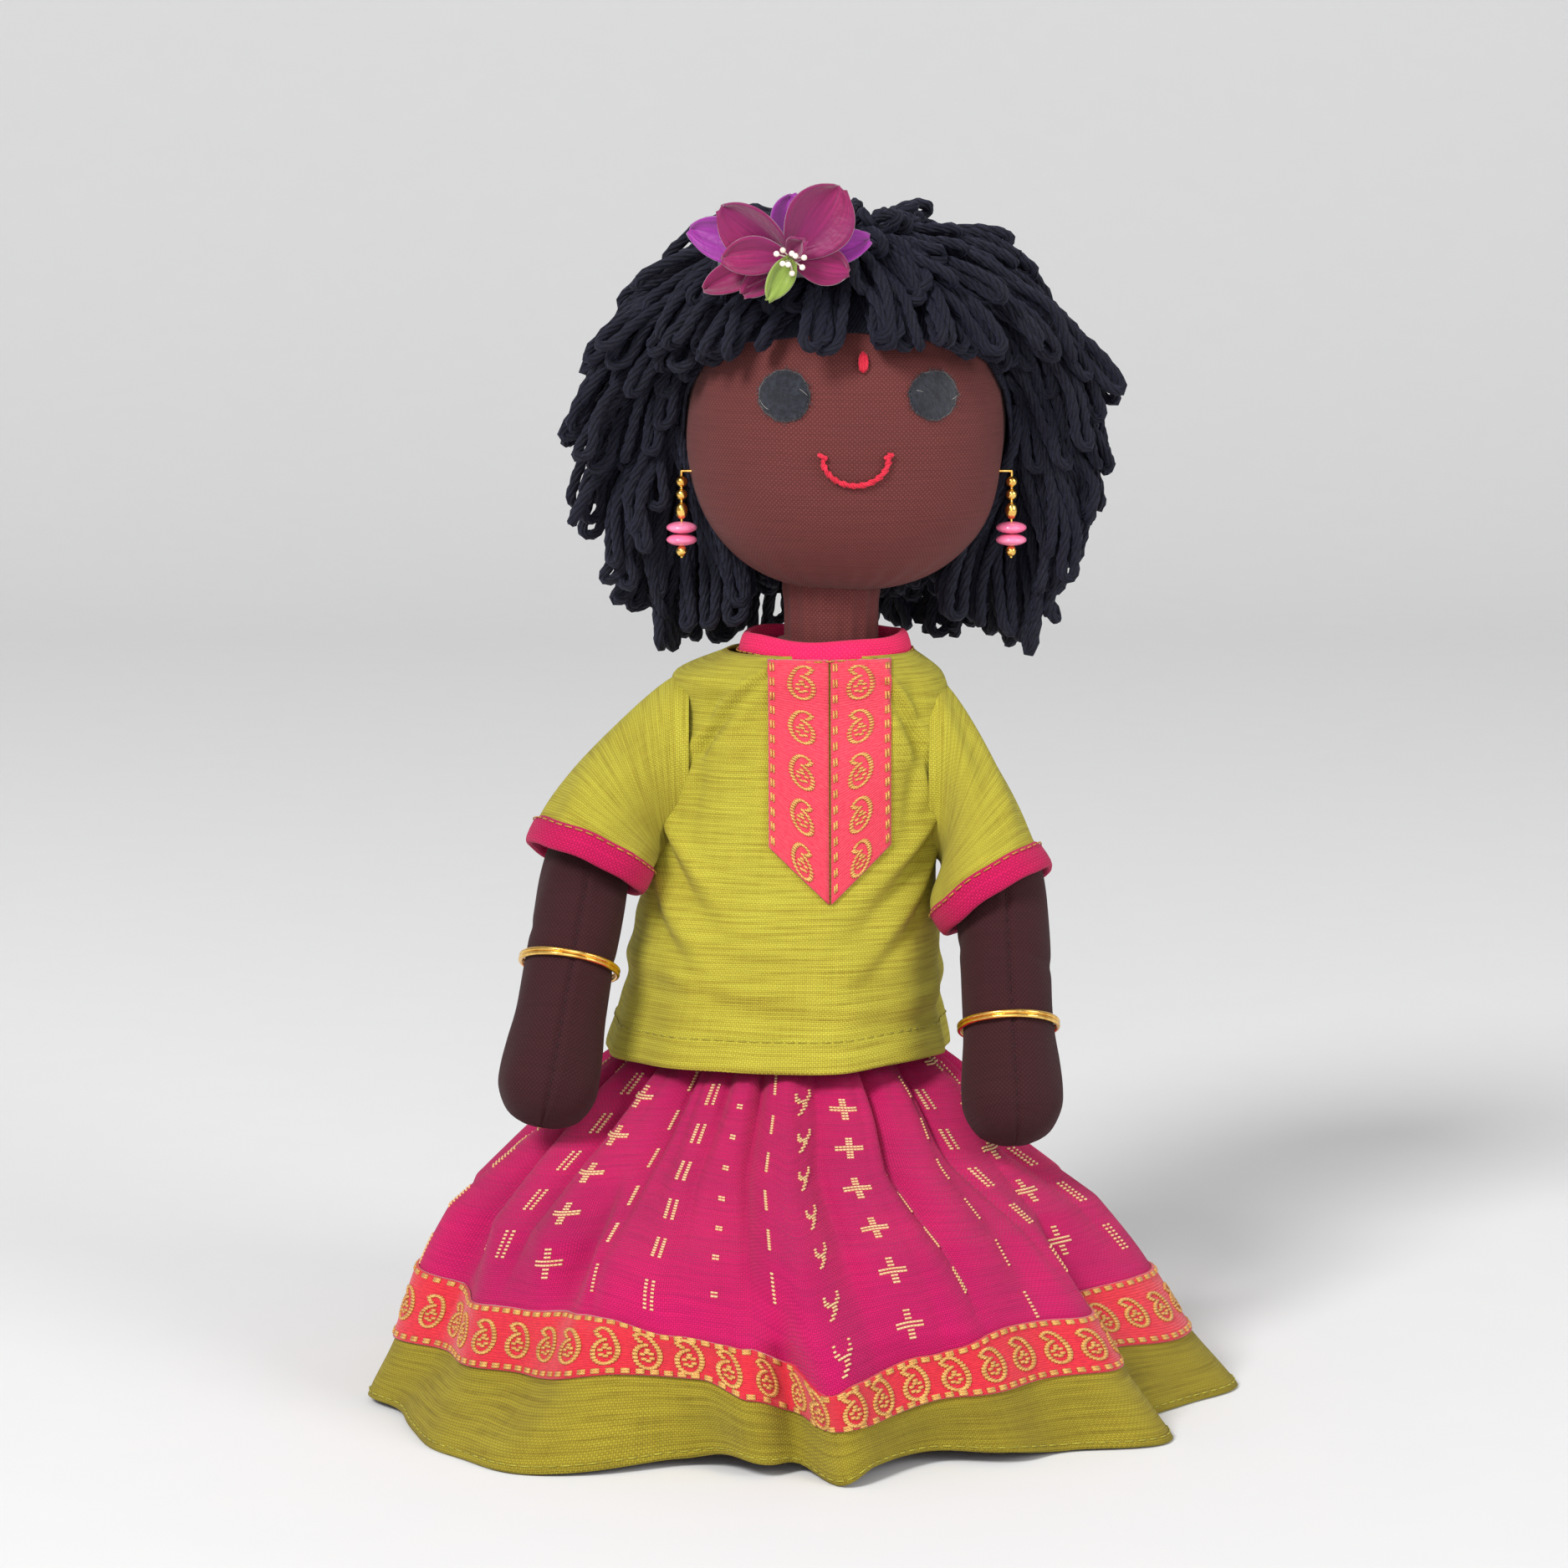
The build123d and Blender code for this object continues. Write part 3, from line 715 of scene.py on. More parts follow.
def skirt_grid(first, last, rows, lift=0.0):
    """The skirt's outer face between two places down its length, 0 at the waist and 1 at the hem."""
    phi = np.arange(SKIRT_COLUMNS) * 360.0 / SKIRT_COLUMNS - 180
    v, phi = np.meshgrid(np.linspace(first, last, rows), phi, indexing="ij")
    upper, lower, hem = skirt_levels(phi)
    waist = 0.12
    z = np.where(v < waist, PANEL_TOP_Z - (PANEL_TOP_Z - HEM_LINE_Z + 2) * v / waist, 0)
    panel = np.clip((v - waist) / (TRIM_TOP - waist), 0, 1)
    z = np.where((v >= waist) & (v < TRIM_TOP), HEM_LINE_Z - 2 - (HEM_LINE_Z - 2 - upper) * panel ** 0.92, z)
    ribbon = (v - TRIM_TOP) / (TRIM_BOTTOM - TRIM_TOP)
    z = np.where((v >= TRIM_TOP) & (v < TRIM_BOTTOM), upper + (lower - upper) * ribbon, z)
    band = (v - TRIM_BOTTOM) / (1 - TRIM_BOTTOM)
    z = np.where(v >= TRIM_BOTTOM, lower + (hem - lower) * band, z)
    cx, cy, ax, ay = skirt_outline(np.clip(z, 0.3, None))
    out = skirt_folds(phi, v) + lift
    turn = np.radians(phi)
    x = cx + (ax + out) * np.sin(turn)
    y = cy - (ay + out) * np.cos(turn)
    puff = 1.4 * bump(wrap(phi), -19, 13) * bump(v, 0.66, 0.05)
    return np.stack([x, y, np.maximum(z - puff, 0.15)], 2)


PLUS = ["...##...", "...##...", "...##...", "########", "########", "...##...", "...##...", "...##..."]
FORK = ["#.....#", "#.....#", "##...##", ".#####.", "...##..", "...##..", "..##...", ".##...."]
DOUBLE = ["#.#", "#.#", "#.#", "#.#", "#.#", "#.#", "#.#", "#.#"]
DASH = ["#", "#", "#", "#", "#", "#", "#", "#"]
DOT = ["##", "##"]
SKIRT_COLUMNS_OF_MOTIFS = {
    0: DASH, 9: FORK, 21: PLUS, 33: DOUBLE, 45: DASH, 57: DOUBLE, 69: PLUS, 81: DOUBLE,
    -10: DOT, -20: DOUBLE, -31: DASH, -43: PLUS, -55: DOUBLE, -67: DASH, -79: DOUBLE,
}
MOTIF_CELL, MOTIF_CELL_DOWN = 0.84, 1.02


def skirt_motifs(fabric):
    """Woven motifs in columns that run from the waist to the ribbon all round the skirt."""
    strokes = []
    rows, columns = fabric.points.shape[:2]
    placed = dict(SKIRT_COLUMNS_OF_MOTIFS)
    for k, angle in enumerate(range(93, 280, 12)):
        placed[wrap(angle).item()] = [DOUBLE, PLUS, DASH, FORK][k % 4]
    for k, (angle, bitmap) in enumerate(sorted(placed.items())):
        column = (angle + 180) / 360 * columns
        line = fabric.read(fabric.points, np.arange(rows - 1.0), np.full(rows - 1, column))
        run = np.concatenate([[0], np.cumsum(np.linalg.norm(np.diff(line, axis=0), axis=1))])
        pitch = 15.4 if len(bitmap) > 2 else 11.5
        at = run[-1] * 0.15 + (k % 3) * 4.6
        while at < run[-1] - 4.5:
            row = np.interp(at, run, np.arange(rows - 1.0))
            strokes += bitmap_strokes(fabric, row, column, bitmap, MOTIF_CELL, MOTIF_CELL_DOWN)
            at += pitch
    return floats("skirt_motif_threads", strokes, 0.27, PALE_ZARI)


PAISLEY_OUTSIDE = [(-1.5, -2.3), (-2.7, -3.3), (-1.0, -4.2), (1.2, -3.6), (2.8, -1.3), (3.1, 1.3), (1.8, 3.5),
                   (-0.6, 4.1), (-2.7, 2.9), (-3.1, 0.7), (-1.9, -0.9), (-0.2, -1.7)]
PAISLEY_INSIDE = [(0.1, -0.4), (1.2, 0.9), (0.6, 2.2), (-0.9, 2.1), (-1.3, 0.9), (-0.2, 0.3)]


def paisley_strokes(fabric, row, column, size=1.0, mirror=1):
    """One woven paisley built of short crosswise floats along two outlines."""
    strokes = []
    for outline, spacing in ((PAISLEY_OUTSIDE, 0.72), (PAISLEY_INSIDE, 0.85)):
        length = sum(math.dist(a, b) for a, b in zip(outline, outline[1:]))
        for a, b in catmull(np.array(outline) * size, int(length * size / spacing)):
            across = mirror * a + np.array([-0.62, 0, 0.62])
            strokes.append(fabric.lay(row, column, across, [b, b, b], 0.12))
    return strokes


def dash_row(fabric, row, count, length):
    """Short gold bars in a line along a closed ribbon's edge."""
    span = fabric.points.shape[1]
    strokes = []
    for k in range(count):
        column = (k + 0.5) * span / count
        for down in (-0.28, 0.28):
            across = np.array([-0.5, 0, 0.5]) * length
            strokes.append(fabric.lay(row, column, across, [down] * 3, 0.1))
    return strokes


def make_skirt():
    panel = skirt_grid(0.0, TRIM_TOP + 0.02, 96)
    cover = cloth("skirt_cloth", panel, MAGENTA, 0.6)
    belongs(cover, "magenta_cotton", "torso", "skirt_panel")
    motifs = skirt_motifs(Fabric(panel))
    belongs(motifs, "coral_ribbon", "torso")

    band = skirt_grid(TRIM_BOTTOM - 0.03, 1.0, 26)
    hem = cloth("skirt_hem_cloth", band, HEM_GREEN, 0.7)
    belongs(hem, "green_hem_cloth", "torso", "skirt_hem_band")
    # the hem facing is coloured with painted shade: darkened magenta for the skirt's inside
    facing = cloth("skirt_hem_facing", skirt_grid(0.86, 1.0, 10, -0.85) * [1, 1, 0.93], SHADED_INSIDE_MAGENTA, 0.5)
    belongs(facing, "magenta_cotton", "torso")
    path, normal = row_path(Fabric(band), 23.2)
    seam = stitches("skirt_hem_stitches", path, normal, 2.2, 0.9, 0.16, OLIVE_THREAD)
    belongs(seam, "green_hem_cloth", "torso")

    ribbon = skirt_grid(TRIM_TOP - 0.008, TRIM_BOTTOM + 0.004, 14, 0.75)
    trim = cloth("skirt_trim_cloth", ribbon, TRIM, 0.6)
    belongs(trim, "coral_ribbon", "torso", "skirt_trim_ribbon")
    laid = Fabric(ribbon)
    step = np.linalg.norm(np.roll(ribbon[6], -1, 0) - ribbon[6], axis=1)
    length, run = step.sum(), np.concatenate([[0], np.cumsum(step)])
    strokes = []
    count = int(length / 9.7)
    for k in range(count):
        column = np.interp((k + 0.5) * length / count, run, np.arange(SKIRT_COLUMNS + 1.0))
        strokes += paisley_strokes(laid, 6.6, column, 0.93)
    dashes = dash_row(laid, 1.1, int(length / 3.5), 2.0) + dash_row(laid, 12.0, int(length / 3.5), 2.0)
    gold = floats("skirt_trim_gold_threads", strokes + dashes, 0.36, ZARI)
    belongs(gold, "coral_ribbon", "torso")


# ---------------------------------------------------------------- blouse

COLLAR_Z = box_mm("blouse_body")[1][2]
BLOUSE_COLUMNS = 240
blouse_heights = np.linspace(HEM_LINE_Z + 0.3, COLLAR_Z - 0.3, 40)
blouse_sections = np.array([section("blouse_body", z) for z in blouse_heights])


def blouse_outline(z):
    cx, cy, ax, ay = [np.interp(z, blouse_heights, blouse_sections[:, k]) for k in range(4)]
    shoulder = bump(z, 169.5, 5.5)
    return cx, cy, ax + 3.0 * shoulder, ay - 0.6 + 1.2 * shoulder


def blouse_folds(phi, z):
    """Drag lines from the armholes, a soft waist and slack above the hem."""
    phi = wrap(phi)
    out = waves(phi, 5, [5, 8, 13], [0.8, 0.6, 0.35]) * smooth((124 - z) / 40)
    for side in (-1, 1):
        slope = (z - 128) - side * (phi - side * 62) * 0.55
        near = bump(phi, side * 54, 24)
        out += near * (2.0 * bump(slope, 8, 3.2) - 1.7 * bump(slope, 1, 2.8) + 1.6 * bump(slope, -7, 3.6)
                       - 1.1 * bump(slope, -13, 3))
        fan = (z - 150) + side * (phi - side * 50) * 0.8
        out += bump(phi, side * 40, 16) * (1.5 * bump(fan, 5, 2.6) - 1.3 * bump(fan, 0, 2.2) + 1.1 * bump(fan, -6, 3))
        out += 1.2 * bump(phi, side * 33, 6) * bump(z, 156, 11)
        out -= 1.6 * bump(phi, side * 45, 4) * bump(z, 150, 15)
    out += 6.0 * bump(z, 169.5, 5.5) * np.maximum(-np.sin(np.radians(phi)), 0) ** 2
    sag = z + 5 * np.sin(np.radians(phi * 1.5 + 20))
    out += 0.9 * bump(sag, 96, 3.5) - 0.7 * bump(sag, 90.5, 3) + 0.6 * bump(sag, 106, 4)
    out += 1.4 * bump(z, HEM_LINE_Z, 7)
    return out


def blouse_point(phi, z, lift=0.0):
    cx, cy, ax, ay = blouse_outline(z)
    out = blouse_folds(phi, z) + lift
    turn = np.radians(phi)
    s, c = np.sin(turn), np.cos(turn)
    power = 2.25
    reach = (np.abs(s) ** power + np.abs(c) ** power) ** (-1 / power)
    return np.stack([cx + (ax + out) * s * reach, cy - (ay + out) * c * reach,
                     z + np.zeros_like(phi)], -1)


def blouse_front(x, z, lift):
    """The point on the blouse's front that lies at x and z."""
    low, high = np.full_like(x, -75.0), np.full_like(x, 75.0)
    for _ in range(30):
        phi = (low + high) / 2
        left = blouse_point(phi, z)[..., 0] < x
        low, high = np.where(left, phi, low), np.where(left, high, phi)
    return blouse_point(phi, z, lift)


def make_blouse():
    phi = np.arange(BLOUSE_COLUMNS) * 360.0 / BLOUSE_COLUMNS - 180
    z, phi = np.meshgrid(np.linspace(COLLAR_Z, HEM_LINE_Z, 110), phi, indexing="ij")
    points = blouse_point(phi, z)
    points[..., 2] += 0.9 * waves(phi, 21, [3, 5], [0.5, 0.4]) * smooth((100 - z) / 22)
    body = cloth("blouse_cloth", points, OLIVE, 0.7)
    belongs(body, "olive_handloom", "torso", "blouse_body")
    path, normal = row_path(Fabric(points), 101.0)
    seam = stitches("blouse_hem_stitches", path, normal, 2.0, 0.9, 0.15, OLIVE_THREAD)
    belongs(seam, "olive_handloom", "torso")
    make_placket()
    make_collar()


PLACKET_SEAM_X = 6.4
PLACKET_HALF = 14.4


def make_placket():
    """Two woven ribbons side by side, cut to a point, with paisleys and gold edge bars."""
    top = COLLAR_Z - 0.6
    for side, name in ((1, "left"), (-1, "right")):
        node = f"placket_ribbon_{name}"
        tip = box_mm(node)[0][2]
        across = np.linspace(0.25, PLACKET_HALF, 12)
        down, across = np.meshgrid(np.linspace(0, 1, 60), across, indexing="ij")
        if side < 0:
            across = across[:, ::-1]
        end = tip + (130 - tip) * across / PLACKET_HALF
        z = top + (end - top) * down
        points = blouse_front(PLACKET_SEAM_X + side * across, z, 0.85)
        strip = cloth(f"{node}_cloth", points, RIBBON, 0.6, closed=False)
        belongs(strip, "coral_ribbon", "torso", node)
        laid = Fabric(points, closed=False)
        strokes = []
        for k in range(5):
            height = top - 5.4 - k * 10.4
            row = (top - height) / (top - (tip + 7)) * 59
            inner = 5.4 if side > 0 else 6.1
            strokes += paisley_strokes(laid, row, inner, 0.92, side)
        edge = 10.3 if side > 0 else 0.75
        strokes += edge_bars(laid, edge, 13)
        if side > 0:
            strokes += edge_bars(laid, 0.8, 15)
        threads = floats(f"{node}_gold_threads", strokes, 0.27, ZARI)
        belongs(threads, "coral_ribbon", "torso")


def edge_bars(fabric, column, count):
    """Gold bars down the length of a ribbon, at one column of its grid."""
    rows = fabric.points.shape[0]
    strokes = []
    for k in range(count):
        row = (k + 0.5) / count * (rows - 2)
        for across in (-0.35, 0.35):
            strokes.append(fabric.lay(row, column, [across] * 3, [-0.95, 0, 0.95], 0.1))
    return strokes


def make_collar():
    phi = np.arange(180) * 2.0 - 180
    centre, half = middle("blouse_neck_binding"), half_size("blouse_neck_binding")
    turn = np.radians(phi)
    dip = -1.1 * bump(phi, 0, 50)
    outward = np.stack([np.sin(turn), -np.cos(turn), 0 * turn], 1)
    centres = np.stack([centre[0] + (half[0] - 1.0) * np.sin(turn), centre[1] - (half[1] - 1.0) * np.cos(turn),
                        centre[2] - 0.4 + dip + 0.25 * np.sin(5 * turn)], 1)
    upward = np.array([0, 0, 1.0]) - outward * 0.28
    band = rolled_band("blouse_collar_binding", centres, outward, upward, 2.6, 1.15, PINK_BINDING)
    belongs(band, "pink_binding", "torso", "blouse_neck_binding")
    path = centres - upward * 1.9 + outward * 1.25
    path = np.vstack([path, path[:1]])
    seam = stitches("blouse_collar_stitches", path, np.vstack([outward, outward[:1]]), 2.0, 0.8, 0.2, GOLD_STITCH)
    belongs(seam, "coral_ribbon", "torso")


# ---------------------------------------------------------------- stuffed body

def ring_form(origin, down, front, distances, half_wide, half_deep, phi, extra=0.0):
    """Rings of points round an axis: phi is 0 at the front and grows towards the +X side."""
    down = down / np.linalg.norm(down)
    front = front - down * front.dot(down)
    front = front / np.linalg.norm(front)
    right = np.cross(front, down)
    turn = np.radians(phi)
    wide = (half_wide + extra) * np.sin(turn)
    deep = (half_deep + extra) * np.cos(turn)
    centre = origin + distances[..., None] * down
    return centre + wide[..., None] * right + deep[..., None] * front


def rings(rows, columns):
    """Grids of row shares from 0 to 1 and of angles round."""
    phi = np.arange(columns) * 360.0 / columns - 180
    return np.meshgrid(np.linspace(0, 1, rows), phi, indexing="ij")


def make_torso():
    low, high = box_mm("torso_cover")
    share, phi = rings(60, 96)
    z = high[2] - 0.4 - (high[2] - low[2] - 0.5) * share
    levels = np.linspace(low[2] + 0.3, high[2] - 0.3, 30)
    cuts = np.array([section("torso_cover", level) for level in levels])
    cx, cy, ax, ay = [np.interp(z, levels, cuts[:, k]) for k in range(4)]
    lumps = waves(phi + z * 2, 31, [3, 5, 8], [0.35, 0.25, 0.2]) - 0.5
    turn = np.radians(phi)
    points = np.stack([cx + (ax + lumps) * np.sin(turn), cy - (ay + lumps) * np.cos(turn), z], 2)
    body = skin("torso_skin", points, BROWN)
    belongs(body, "brown_cotton", "torso", "torso_cover", "torso_stuffing")


def make_legs():
    for side in ("left", "right"):
        hip = joint_point(f"hip_splay_{side}")
        low, high = box_mm(f"leg_{side}_cover")
        radius = (high[2] - low[2]) / 2
        foot_x = high[0] - radius if side == "left" else low[0] + radius
        foot = np.array([foot_x, low[1] + radius, hip[2]])
        along = foot - hip
        length = np.linalg.norm(along)
        share, phi = rings(52, 72)
        reach = -radius + (length + 2 * radius) * share
        keys = [-radius, -radius + 1, -radius + 4, -8, 0, 8, length * 0.6, length - 2, length + 6,
                length + 10, length + radius - 1, length + radius]
        widths = [1.5, 6, 10.5, 13.4, 14.8, 14.2, 14.0, 14.8, 13.6, 11.2, 5.5, 1.5]
        form = np.interp(reach, keys, widths)
        lumps = waves(phi + reach * 3, 41, [2, 5, 9], [0.3, 0.25, 0.2]) - 0.3 - 0.7 * bump(wrap(phi), 180, 5)
        points = ring_form(hip, along, np.array([0, 0, 1.0]), reach, form, form, phi, lumps)
        leg = skin(f"leg_{side}_skin", points, BROWN)
        belongs(leg, "brown_cotton", f"leg_{side}", f"leg_{side}_cover", f"leg_{side}_stuffing")


def arm_axis(side):
    """The top of an arm, its direction down to the hand, and its length."""
    down = -np.array(joint(f"bangle_slide_{side}")["axis"])
    down /= np.linalg.norm(down)
    top = joint_point(f"shoulder_{side}") + [0, 0, 7.0]
    vertices = np.array([v.co for v in frame["nodes"][f"arm_{side}_cover"].data.vertices]) / MM
    return top, down, ((vertices - top) @ down).max()


ARM_START = 17.0                # the stuffed arm begins inside the sleeve
ARM_FORM = [(17.0, 1.0), (18.2, 3.2), (21, 5.2), (27, 7.6), (34, 9.8), (42, 10.9), (52, 11.15), (64, 10.95),
            (76, 10.9), (84, 11.6), (91, 12.1), (96, 11.7), (101, 9.0), (103.4, 5.0), (104.2, 1.0)]
ARM_LENGTH = 104.2


def make_arms():
    for side in ("left", "right"):
        top, down, length = arm_axis(side)
        share, phi = rings(110, 96)
        reach = ARM_START + (length - ARM_START) * share
        keys = np.array(ARM_FORM)
        fine = catmull(keys, 200)
        form = np.interp(reach * ARM_LENGTH / length, fine[:, 0], fine[:, 1])
        phi0 = wrap(phi)
        lumps = waves(phi + reach * 2, 51 if side == "left" else 52, [2, 4, 7], [0.16, 0.12, 0.08]) - 0.1
        away = smooth((reach - 38) / 10)
        lumps -= 0.75 * bump(phi0, 4, 3.0) * away
        lumps += 0.22 * bump(phi0, 12, 5) * away + 0.22 * bump(phi0, -5, 5) * away
        lumps -= 0.35 * bump(reach, 58 + 3 * np.sin(np.radians(phi)), 1.8)
        lumps += 0.12 * np.sin(reach * 1.9) * bump(phi0, 4, 9) * away
        points = ring_form(top, down, np.array([0, -1.0, 0]), reach, form, form * 0.985, phi, lumps)
        arm = skin(f"arm_{side}_skin", points, ARM_BROWN)
        belongs(arm, "brown_cotton", f"arm_{side}", f"arm_{side}_cover", f"arm_{side}_stuffing")
        column = int(round((4 + 180) / 360 * 96))      # the seam runs 4 degrees from the front
        normal = grid_normals(points, True)[30:106, column]
        seam = stitches(f"arm_{side}_seam_stitches", points[30:106, column] + normal * 0.12, normal,
                        1.5, 1.4, 0.11, BROWN_THREAD)
        belongs(seam, "brown_cotton", f"arm_{side}")


# ---------------------------------------------------------------- sleeves

SLEEVES = {
    "left": dict(armhole=(30.5, -1.5, 145.6), armhole_half=(22.6, 16.5), tilt=34.0, cuff=(45.8, -20.5, 118.5)),
    "right": dict(armhole=(-27.5, -1.5, 146.8), armhole_half=(23.2, 16.5), tilt=-25.0, cuff=(-51.4, -20.0, 126.5)),
}
CUFF_HALF = (15.2, 15.9)


def sleeve_points(side, spec, share, phi, lift=0.0):
    """The sleeve's outer face from inside the armhole to the cuff."""
    sign = 1 if side == "left" else -1
    front = np.array([0, -1.0, 0])
    tilt = math.radians(spec["tilt"])
    out, down = np.array([sign, 0, 0.0]), np.array([math.sin(tilt), 0, -math.cos(tilt)])
    down = down + np.array([0, -0.28, 0])
    down /= np.linalg.norm(down)
    zero = np.zeros_like(phi)
    tall, deep = spec["armhole_half"]
    first = ring_form(np.array(spec["armhole"]), out, front, zero, tall, deep, phi, lift)
    last = ring_form(np.array(spec["cuff"]), down, front, zero, CUFF_HALF[0], CUFF_HALF[1], phi, lift)
    t = share[..., None]
    pull = 26.0
    points = ((2 * t ** 3 - 3 * t ** 2 + 1) * first + (t ** 3 - 2 * t ** 2 + t) * out * pull
              + (3 * t ** 2 - 2 * t ** 3) * last + (t ** 3 - t ** 2) * down * pull * 1.2)
    top = wrap(phi - 90 * sign)
    fold = 1.1 * bump(top, -38 * sign, 16) * np.sin(share * 11 + 0.6) * smooth(share / 0.2)
    fold += 0.9 * bump(top, 20 * sign, 26) * np.sin(share * 8 + 2.2)
    fold += waves(phi + share * 60, 61 + sign, [3, 5, 9], [0.5, 0.35, 0.2]) * smooth(share / 0.15)
    fold *= 1 - 0.8 * smooth((share - 0.86) / 0.14)
    centre = points.mean(1, keepdims=True)
    outward = points - centre
    outward /= np.maximum(np.linalg.norm(outward, axis=2, keepdims=True), 1e-6)
    return points + outward * fold[..., None]


def make_sleeves():
    for side, spec in SLEEVES.items():
        share, phi = rings(64, 120)
        points = sleeve_points(side, spec, share, phi)
        tube = cloth(f"sleeve_{side}_cloth", points, OLIVE, 0.7)
        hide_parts(f"sleeve_{side}")
        centres = points[-1]
        middle_point = centres.mean(0)
        outward = centres - middle_point
        outward /= np.linalg.norm(outward, axis=1, keepdims=True)
        upward = points[-6] - points[-1]
        upward -= outward * (upward * outward).sum(1, keepdims=True)
        upward /= np.linalg.norm(upward, axis=1, keepdims=True)
        wobble = 0.25 * waves(phi[0], 71, [4, 7], [0.6, 0.5])
        centres = centres - outward * 0.35 + upward * wobble[:, None]
        band = rolled_band(f"sleeve_{side}_binding_cloth", centres, outward, upward, 3.5, 1.25, CUFF_BINDING)
        belongs(band, "pink_binding", f"arm_{side}", f"sleeve_{side}_binding")
        path = centres + upward * 2.6 + outward * 1.3
        seam = stitches(f"sleeve_{side}_binding_stitches", np.vstack([path, path[:1]]),
                        np.vstack([outward, outward[:1]]), 1.9, 0.9, 0.17, GOLD_STITCH)
        belongs(seam, "pink_binding", f"arm_{side}")
        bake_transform(tube)


# ---------------------------------------------------------------- neck, head and face

HEAD, HEAD_HALF = middle("head_cover"), half_size("head_cover")


def head_power(z):
    """How square the head's outline is, a little more so towards the jaw."""
    return 2.08 + 0.24 * smooth((HEAD[2] + 4 - z) / 30)


def head_level(z):
    """Half width and half depth of the head at a height."""
    power = head_power(z)
    share = np.clip(1 - np.abs((z - HEAD[2]) / HEAD_HALF[2]) ** power, 0, 1) ** (1 / power)
    return HEAD_HALF[0] * share, HEAD_HALF[1] * share


def head_lumps(phi, z):
    phi = wrap(phi)
    lumps = waves(phi + z * 1.5, 81, [2, 3, 5, 8], [0.25, 0.2, 0.16, 0.1])
    lumps -= 0.35 * bump(phi, 3, 8) * bump(z, 219, 4.5)
    puckers = np.sin(np.radians(phi * 26 + 20 * np.sin(np.radians(phi * 5))))
    return lumps + 0.45 * puckers * smooth((203 - z) / 11)


def head_grid(phi, z, lift=0.0):
    wide, deep = head_level(z)
    power = head_power(z)
    s, c = np.sin(np.radians(phi)), np.cos(np.radians(phi))
    reach = (np.abs(s) ** power + np.abs(c) ** power) ** (-1 / power)
    grow = head_lumps(phi, z) + lift
    return np.stack([HEAD[0] + (wide + grow) * s * reach, HEAD[1] - (deep + grow) * c * reach, z], -1)


def on_face(x, z, lift=0.0):
    """The point on the front of the head at x and z."""
    x, z = np.asarray(x, float), np.asarray(z, float)
    wide, deep = head_level(z)
    power = head_power(z)
    across = np.clip(np.abs((x - HEAD[0]) / np.maximum(wide, 1)), 0, 0.98)
    y = -deep * (1 - across ** power) ** (1 / power)
    phi = np.degrees(np.arctan2(x - HEAD[0], -y))
    return np.stack([x, HEAD[1] + y - head_lumps(phi, z) - lift, z], -1)


def make_head():
    share, phi = rings(130, 180)
    z = HEAD[2] + (HEAD_HALF[2] - 0.05) * np.cos(math.pi * (0.012 + 0.976 * share))
    head = skin("head_skin", head_grid(phi, z), BROWN)
    belongs(head, "brown_cotton", "head", "head_cover", "head_stuffing")


def make_neck():
    share, phi = rings(30, 96)
    low, high = box_mm("neck_cover")
    z = high[2] + 3.5 - (high[2] - low[2] + 8.5) * share
    half = half_size("neck_cover")[0]
    folds = 0.28 * np.sin(np.radians(phi * 17 + 30 * np.sin(np.radians(3 * phi)))) + 0.5 * bump(z, 190, 3)
    turn = np.radians(phi)
    centre = middle("neck_cover")
    points = np.stack([centre[0] + (half - 0.3 + folds) * np.sin(turn),
                       centre[1] - (half - 0.3 + folds) * np.cos(turn), z], 2)
    neck = skin("neck_skin", points, BROWN)
    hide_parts("neck_cover", "neck_stuffing")
    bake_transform(neck)


def felt_disc(name, centre, radius, seed):
    """A cut felt disc that lies on the face, with a slightly uneven edge."""
    share, phi = rings(14, 90)
    edge = radius * (1 + 0.02 * waves(phi, seed, [3, 7, 13], [0.8, 0.6, 0.6]))
    away = edge * np.clip(share, 0.001, 1)
    x, z = centre[0] + away * np.sin(np.radians(phi)), centre[1] - away * np.cos(np.radians(phi))
    lift = 0.85 - 0.45 * smooth((share - 0.86) / 0.14)
    return cloth(name, on_face(x, z, lift), FELT, 0.6)


def fibres(name, centre, radius, seed, count, length, thick, material, spread):
    """Loose fibres standing off a felt disc's edge and face."""
    local = np.random.default_rng(seed)
    strokes = []
    for k in range(count):
        turn = local.uniform(0, 2 * math.pi)
        away = radius * (1.0 - spread * local.random() ** 1.6)
        heading = turn + local.normal(0, 0.9)
        size = length * local.uniform(0.5, 1.2)
        bend = local.normal(0, 0.35)
        t = np.linspace(0, 1, 6)
        angle = heading + bend * t
        x = centre[0] + away * math.sin(turn) + size * t * np.sin(angle)
        z = centre[1] - away * math.cos(turn) - size * t * np.cos(angle)
        strokes.append(on_face(x, z, 0.75 + 0.45 * local.random() * np.sin(math.pi * t)))
    return tubes(name, np.array(strokes), thick, material, sides=5)


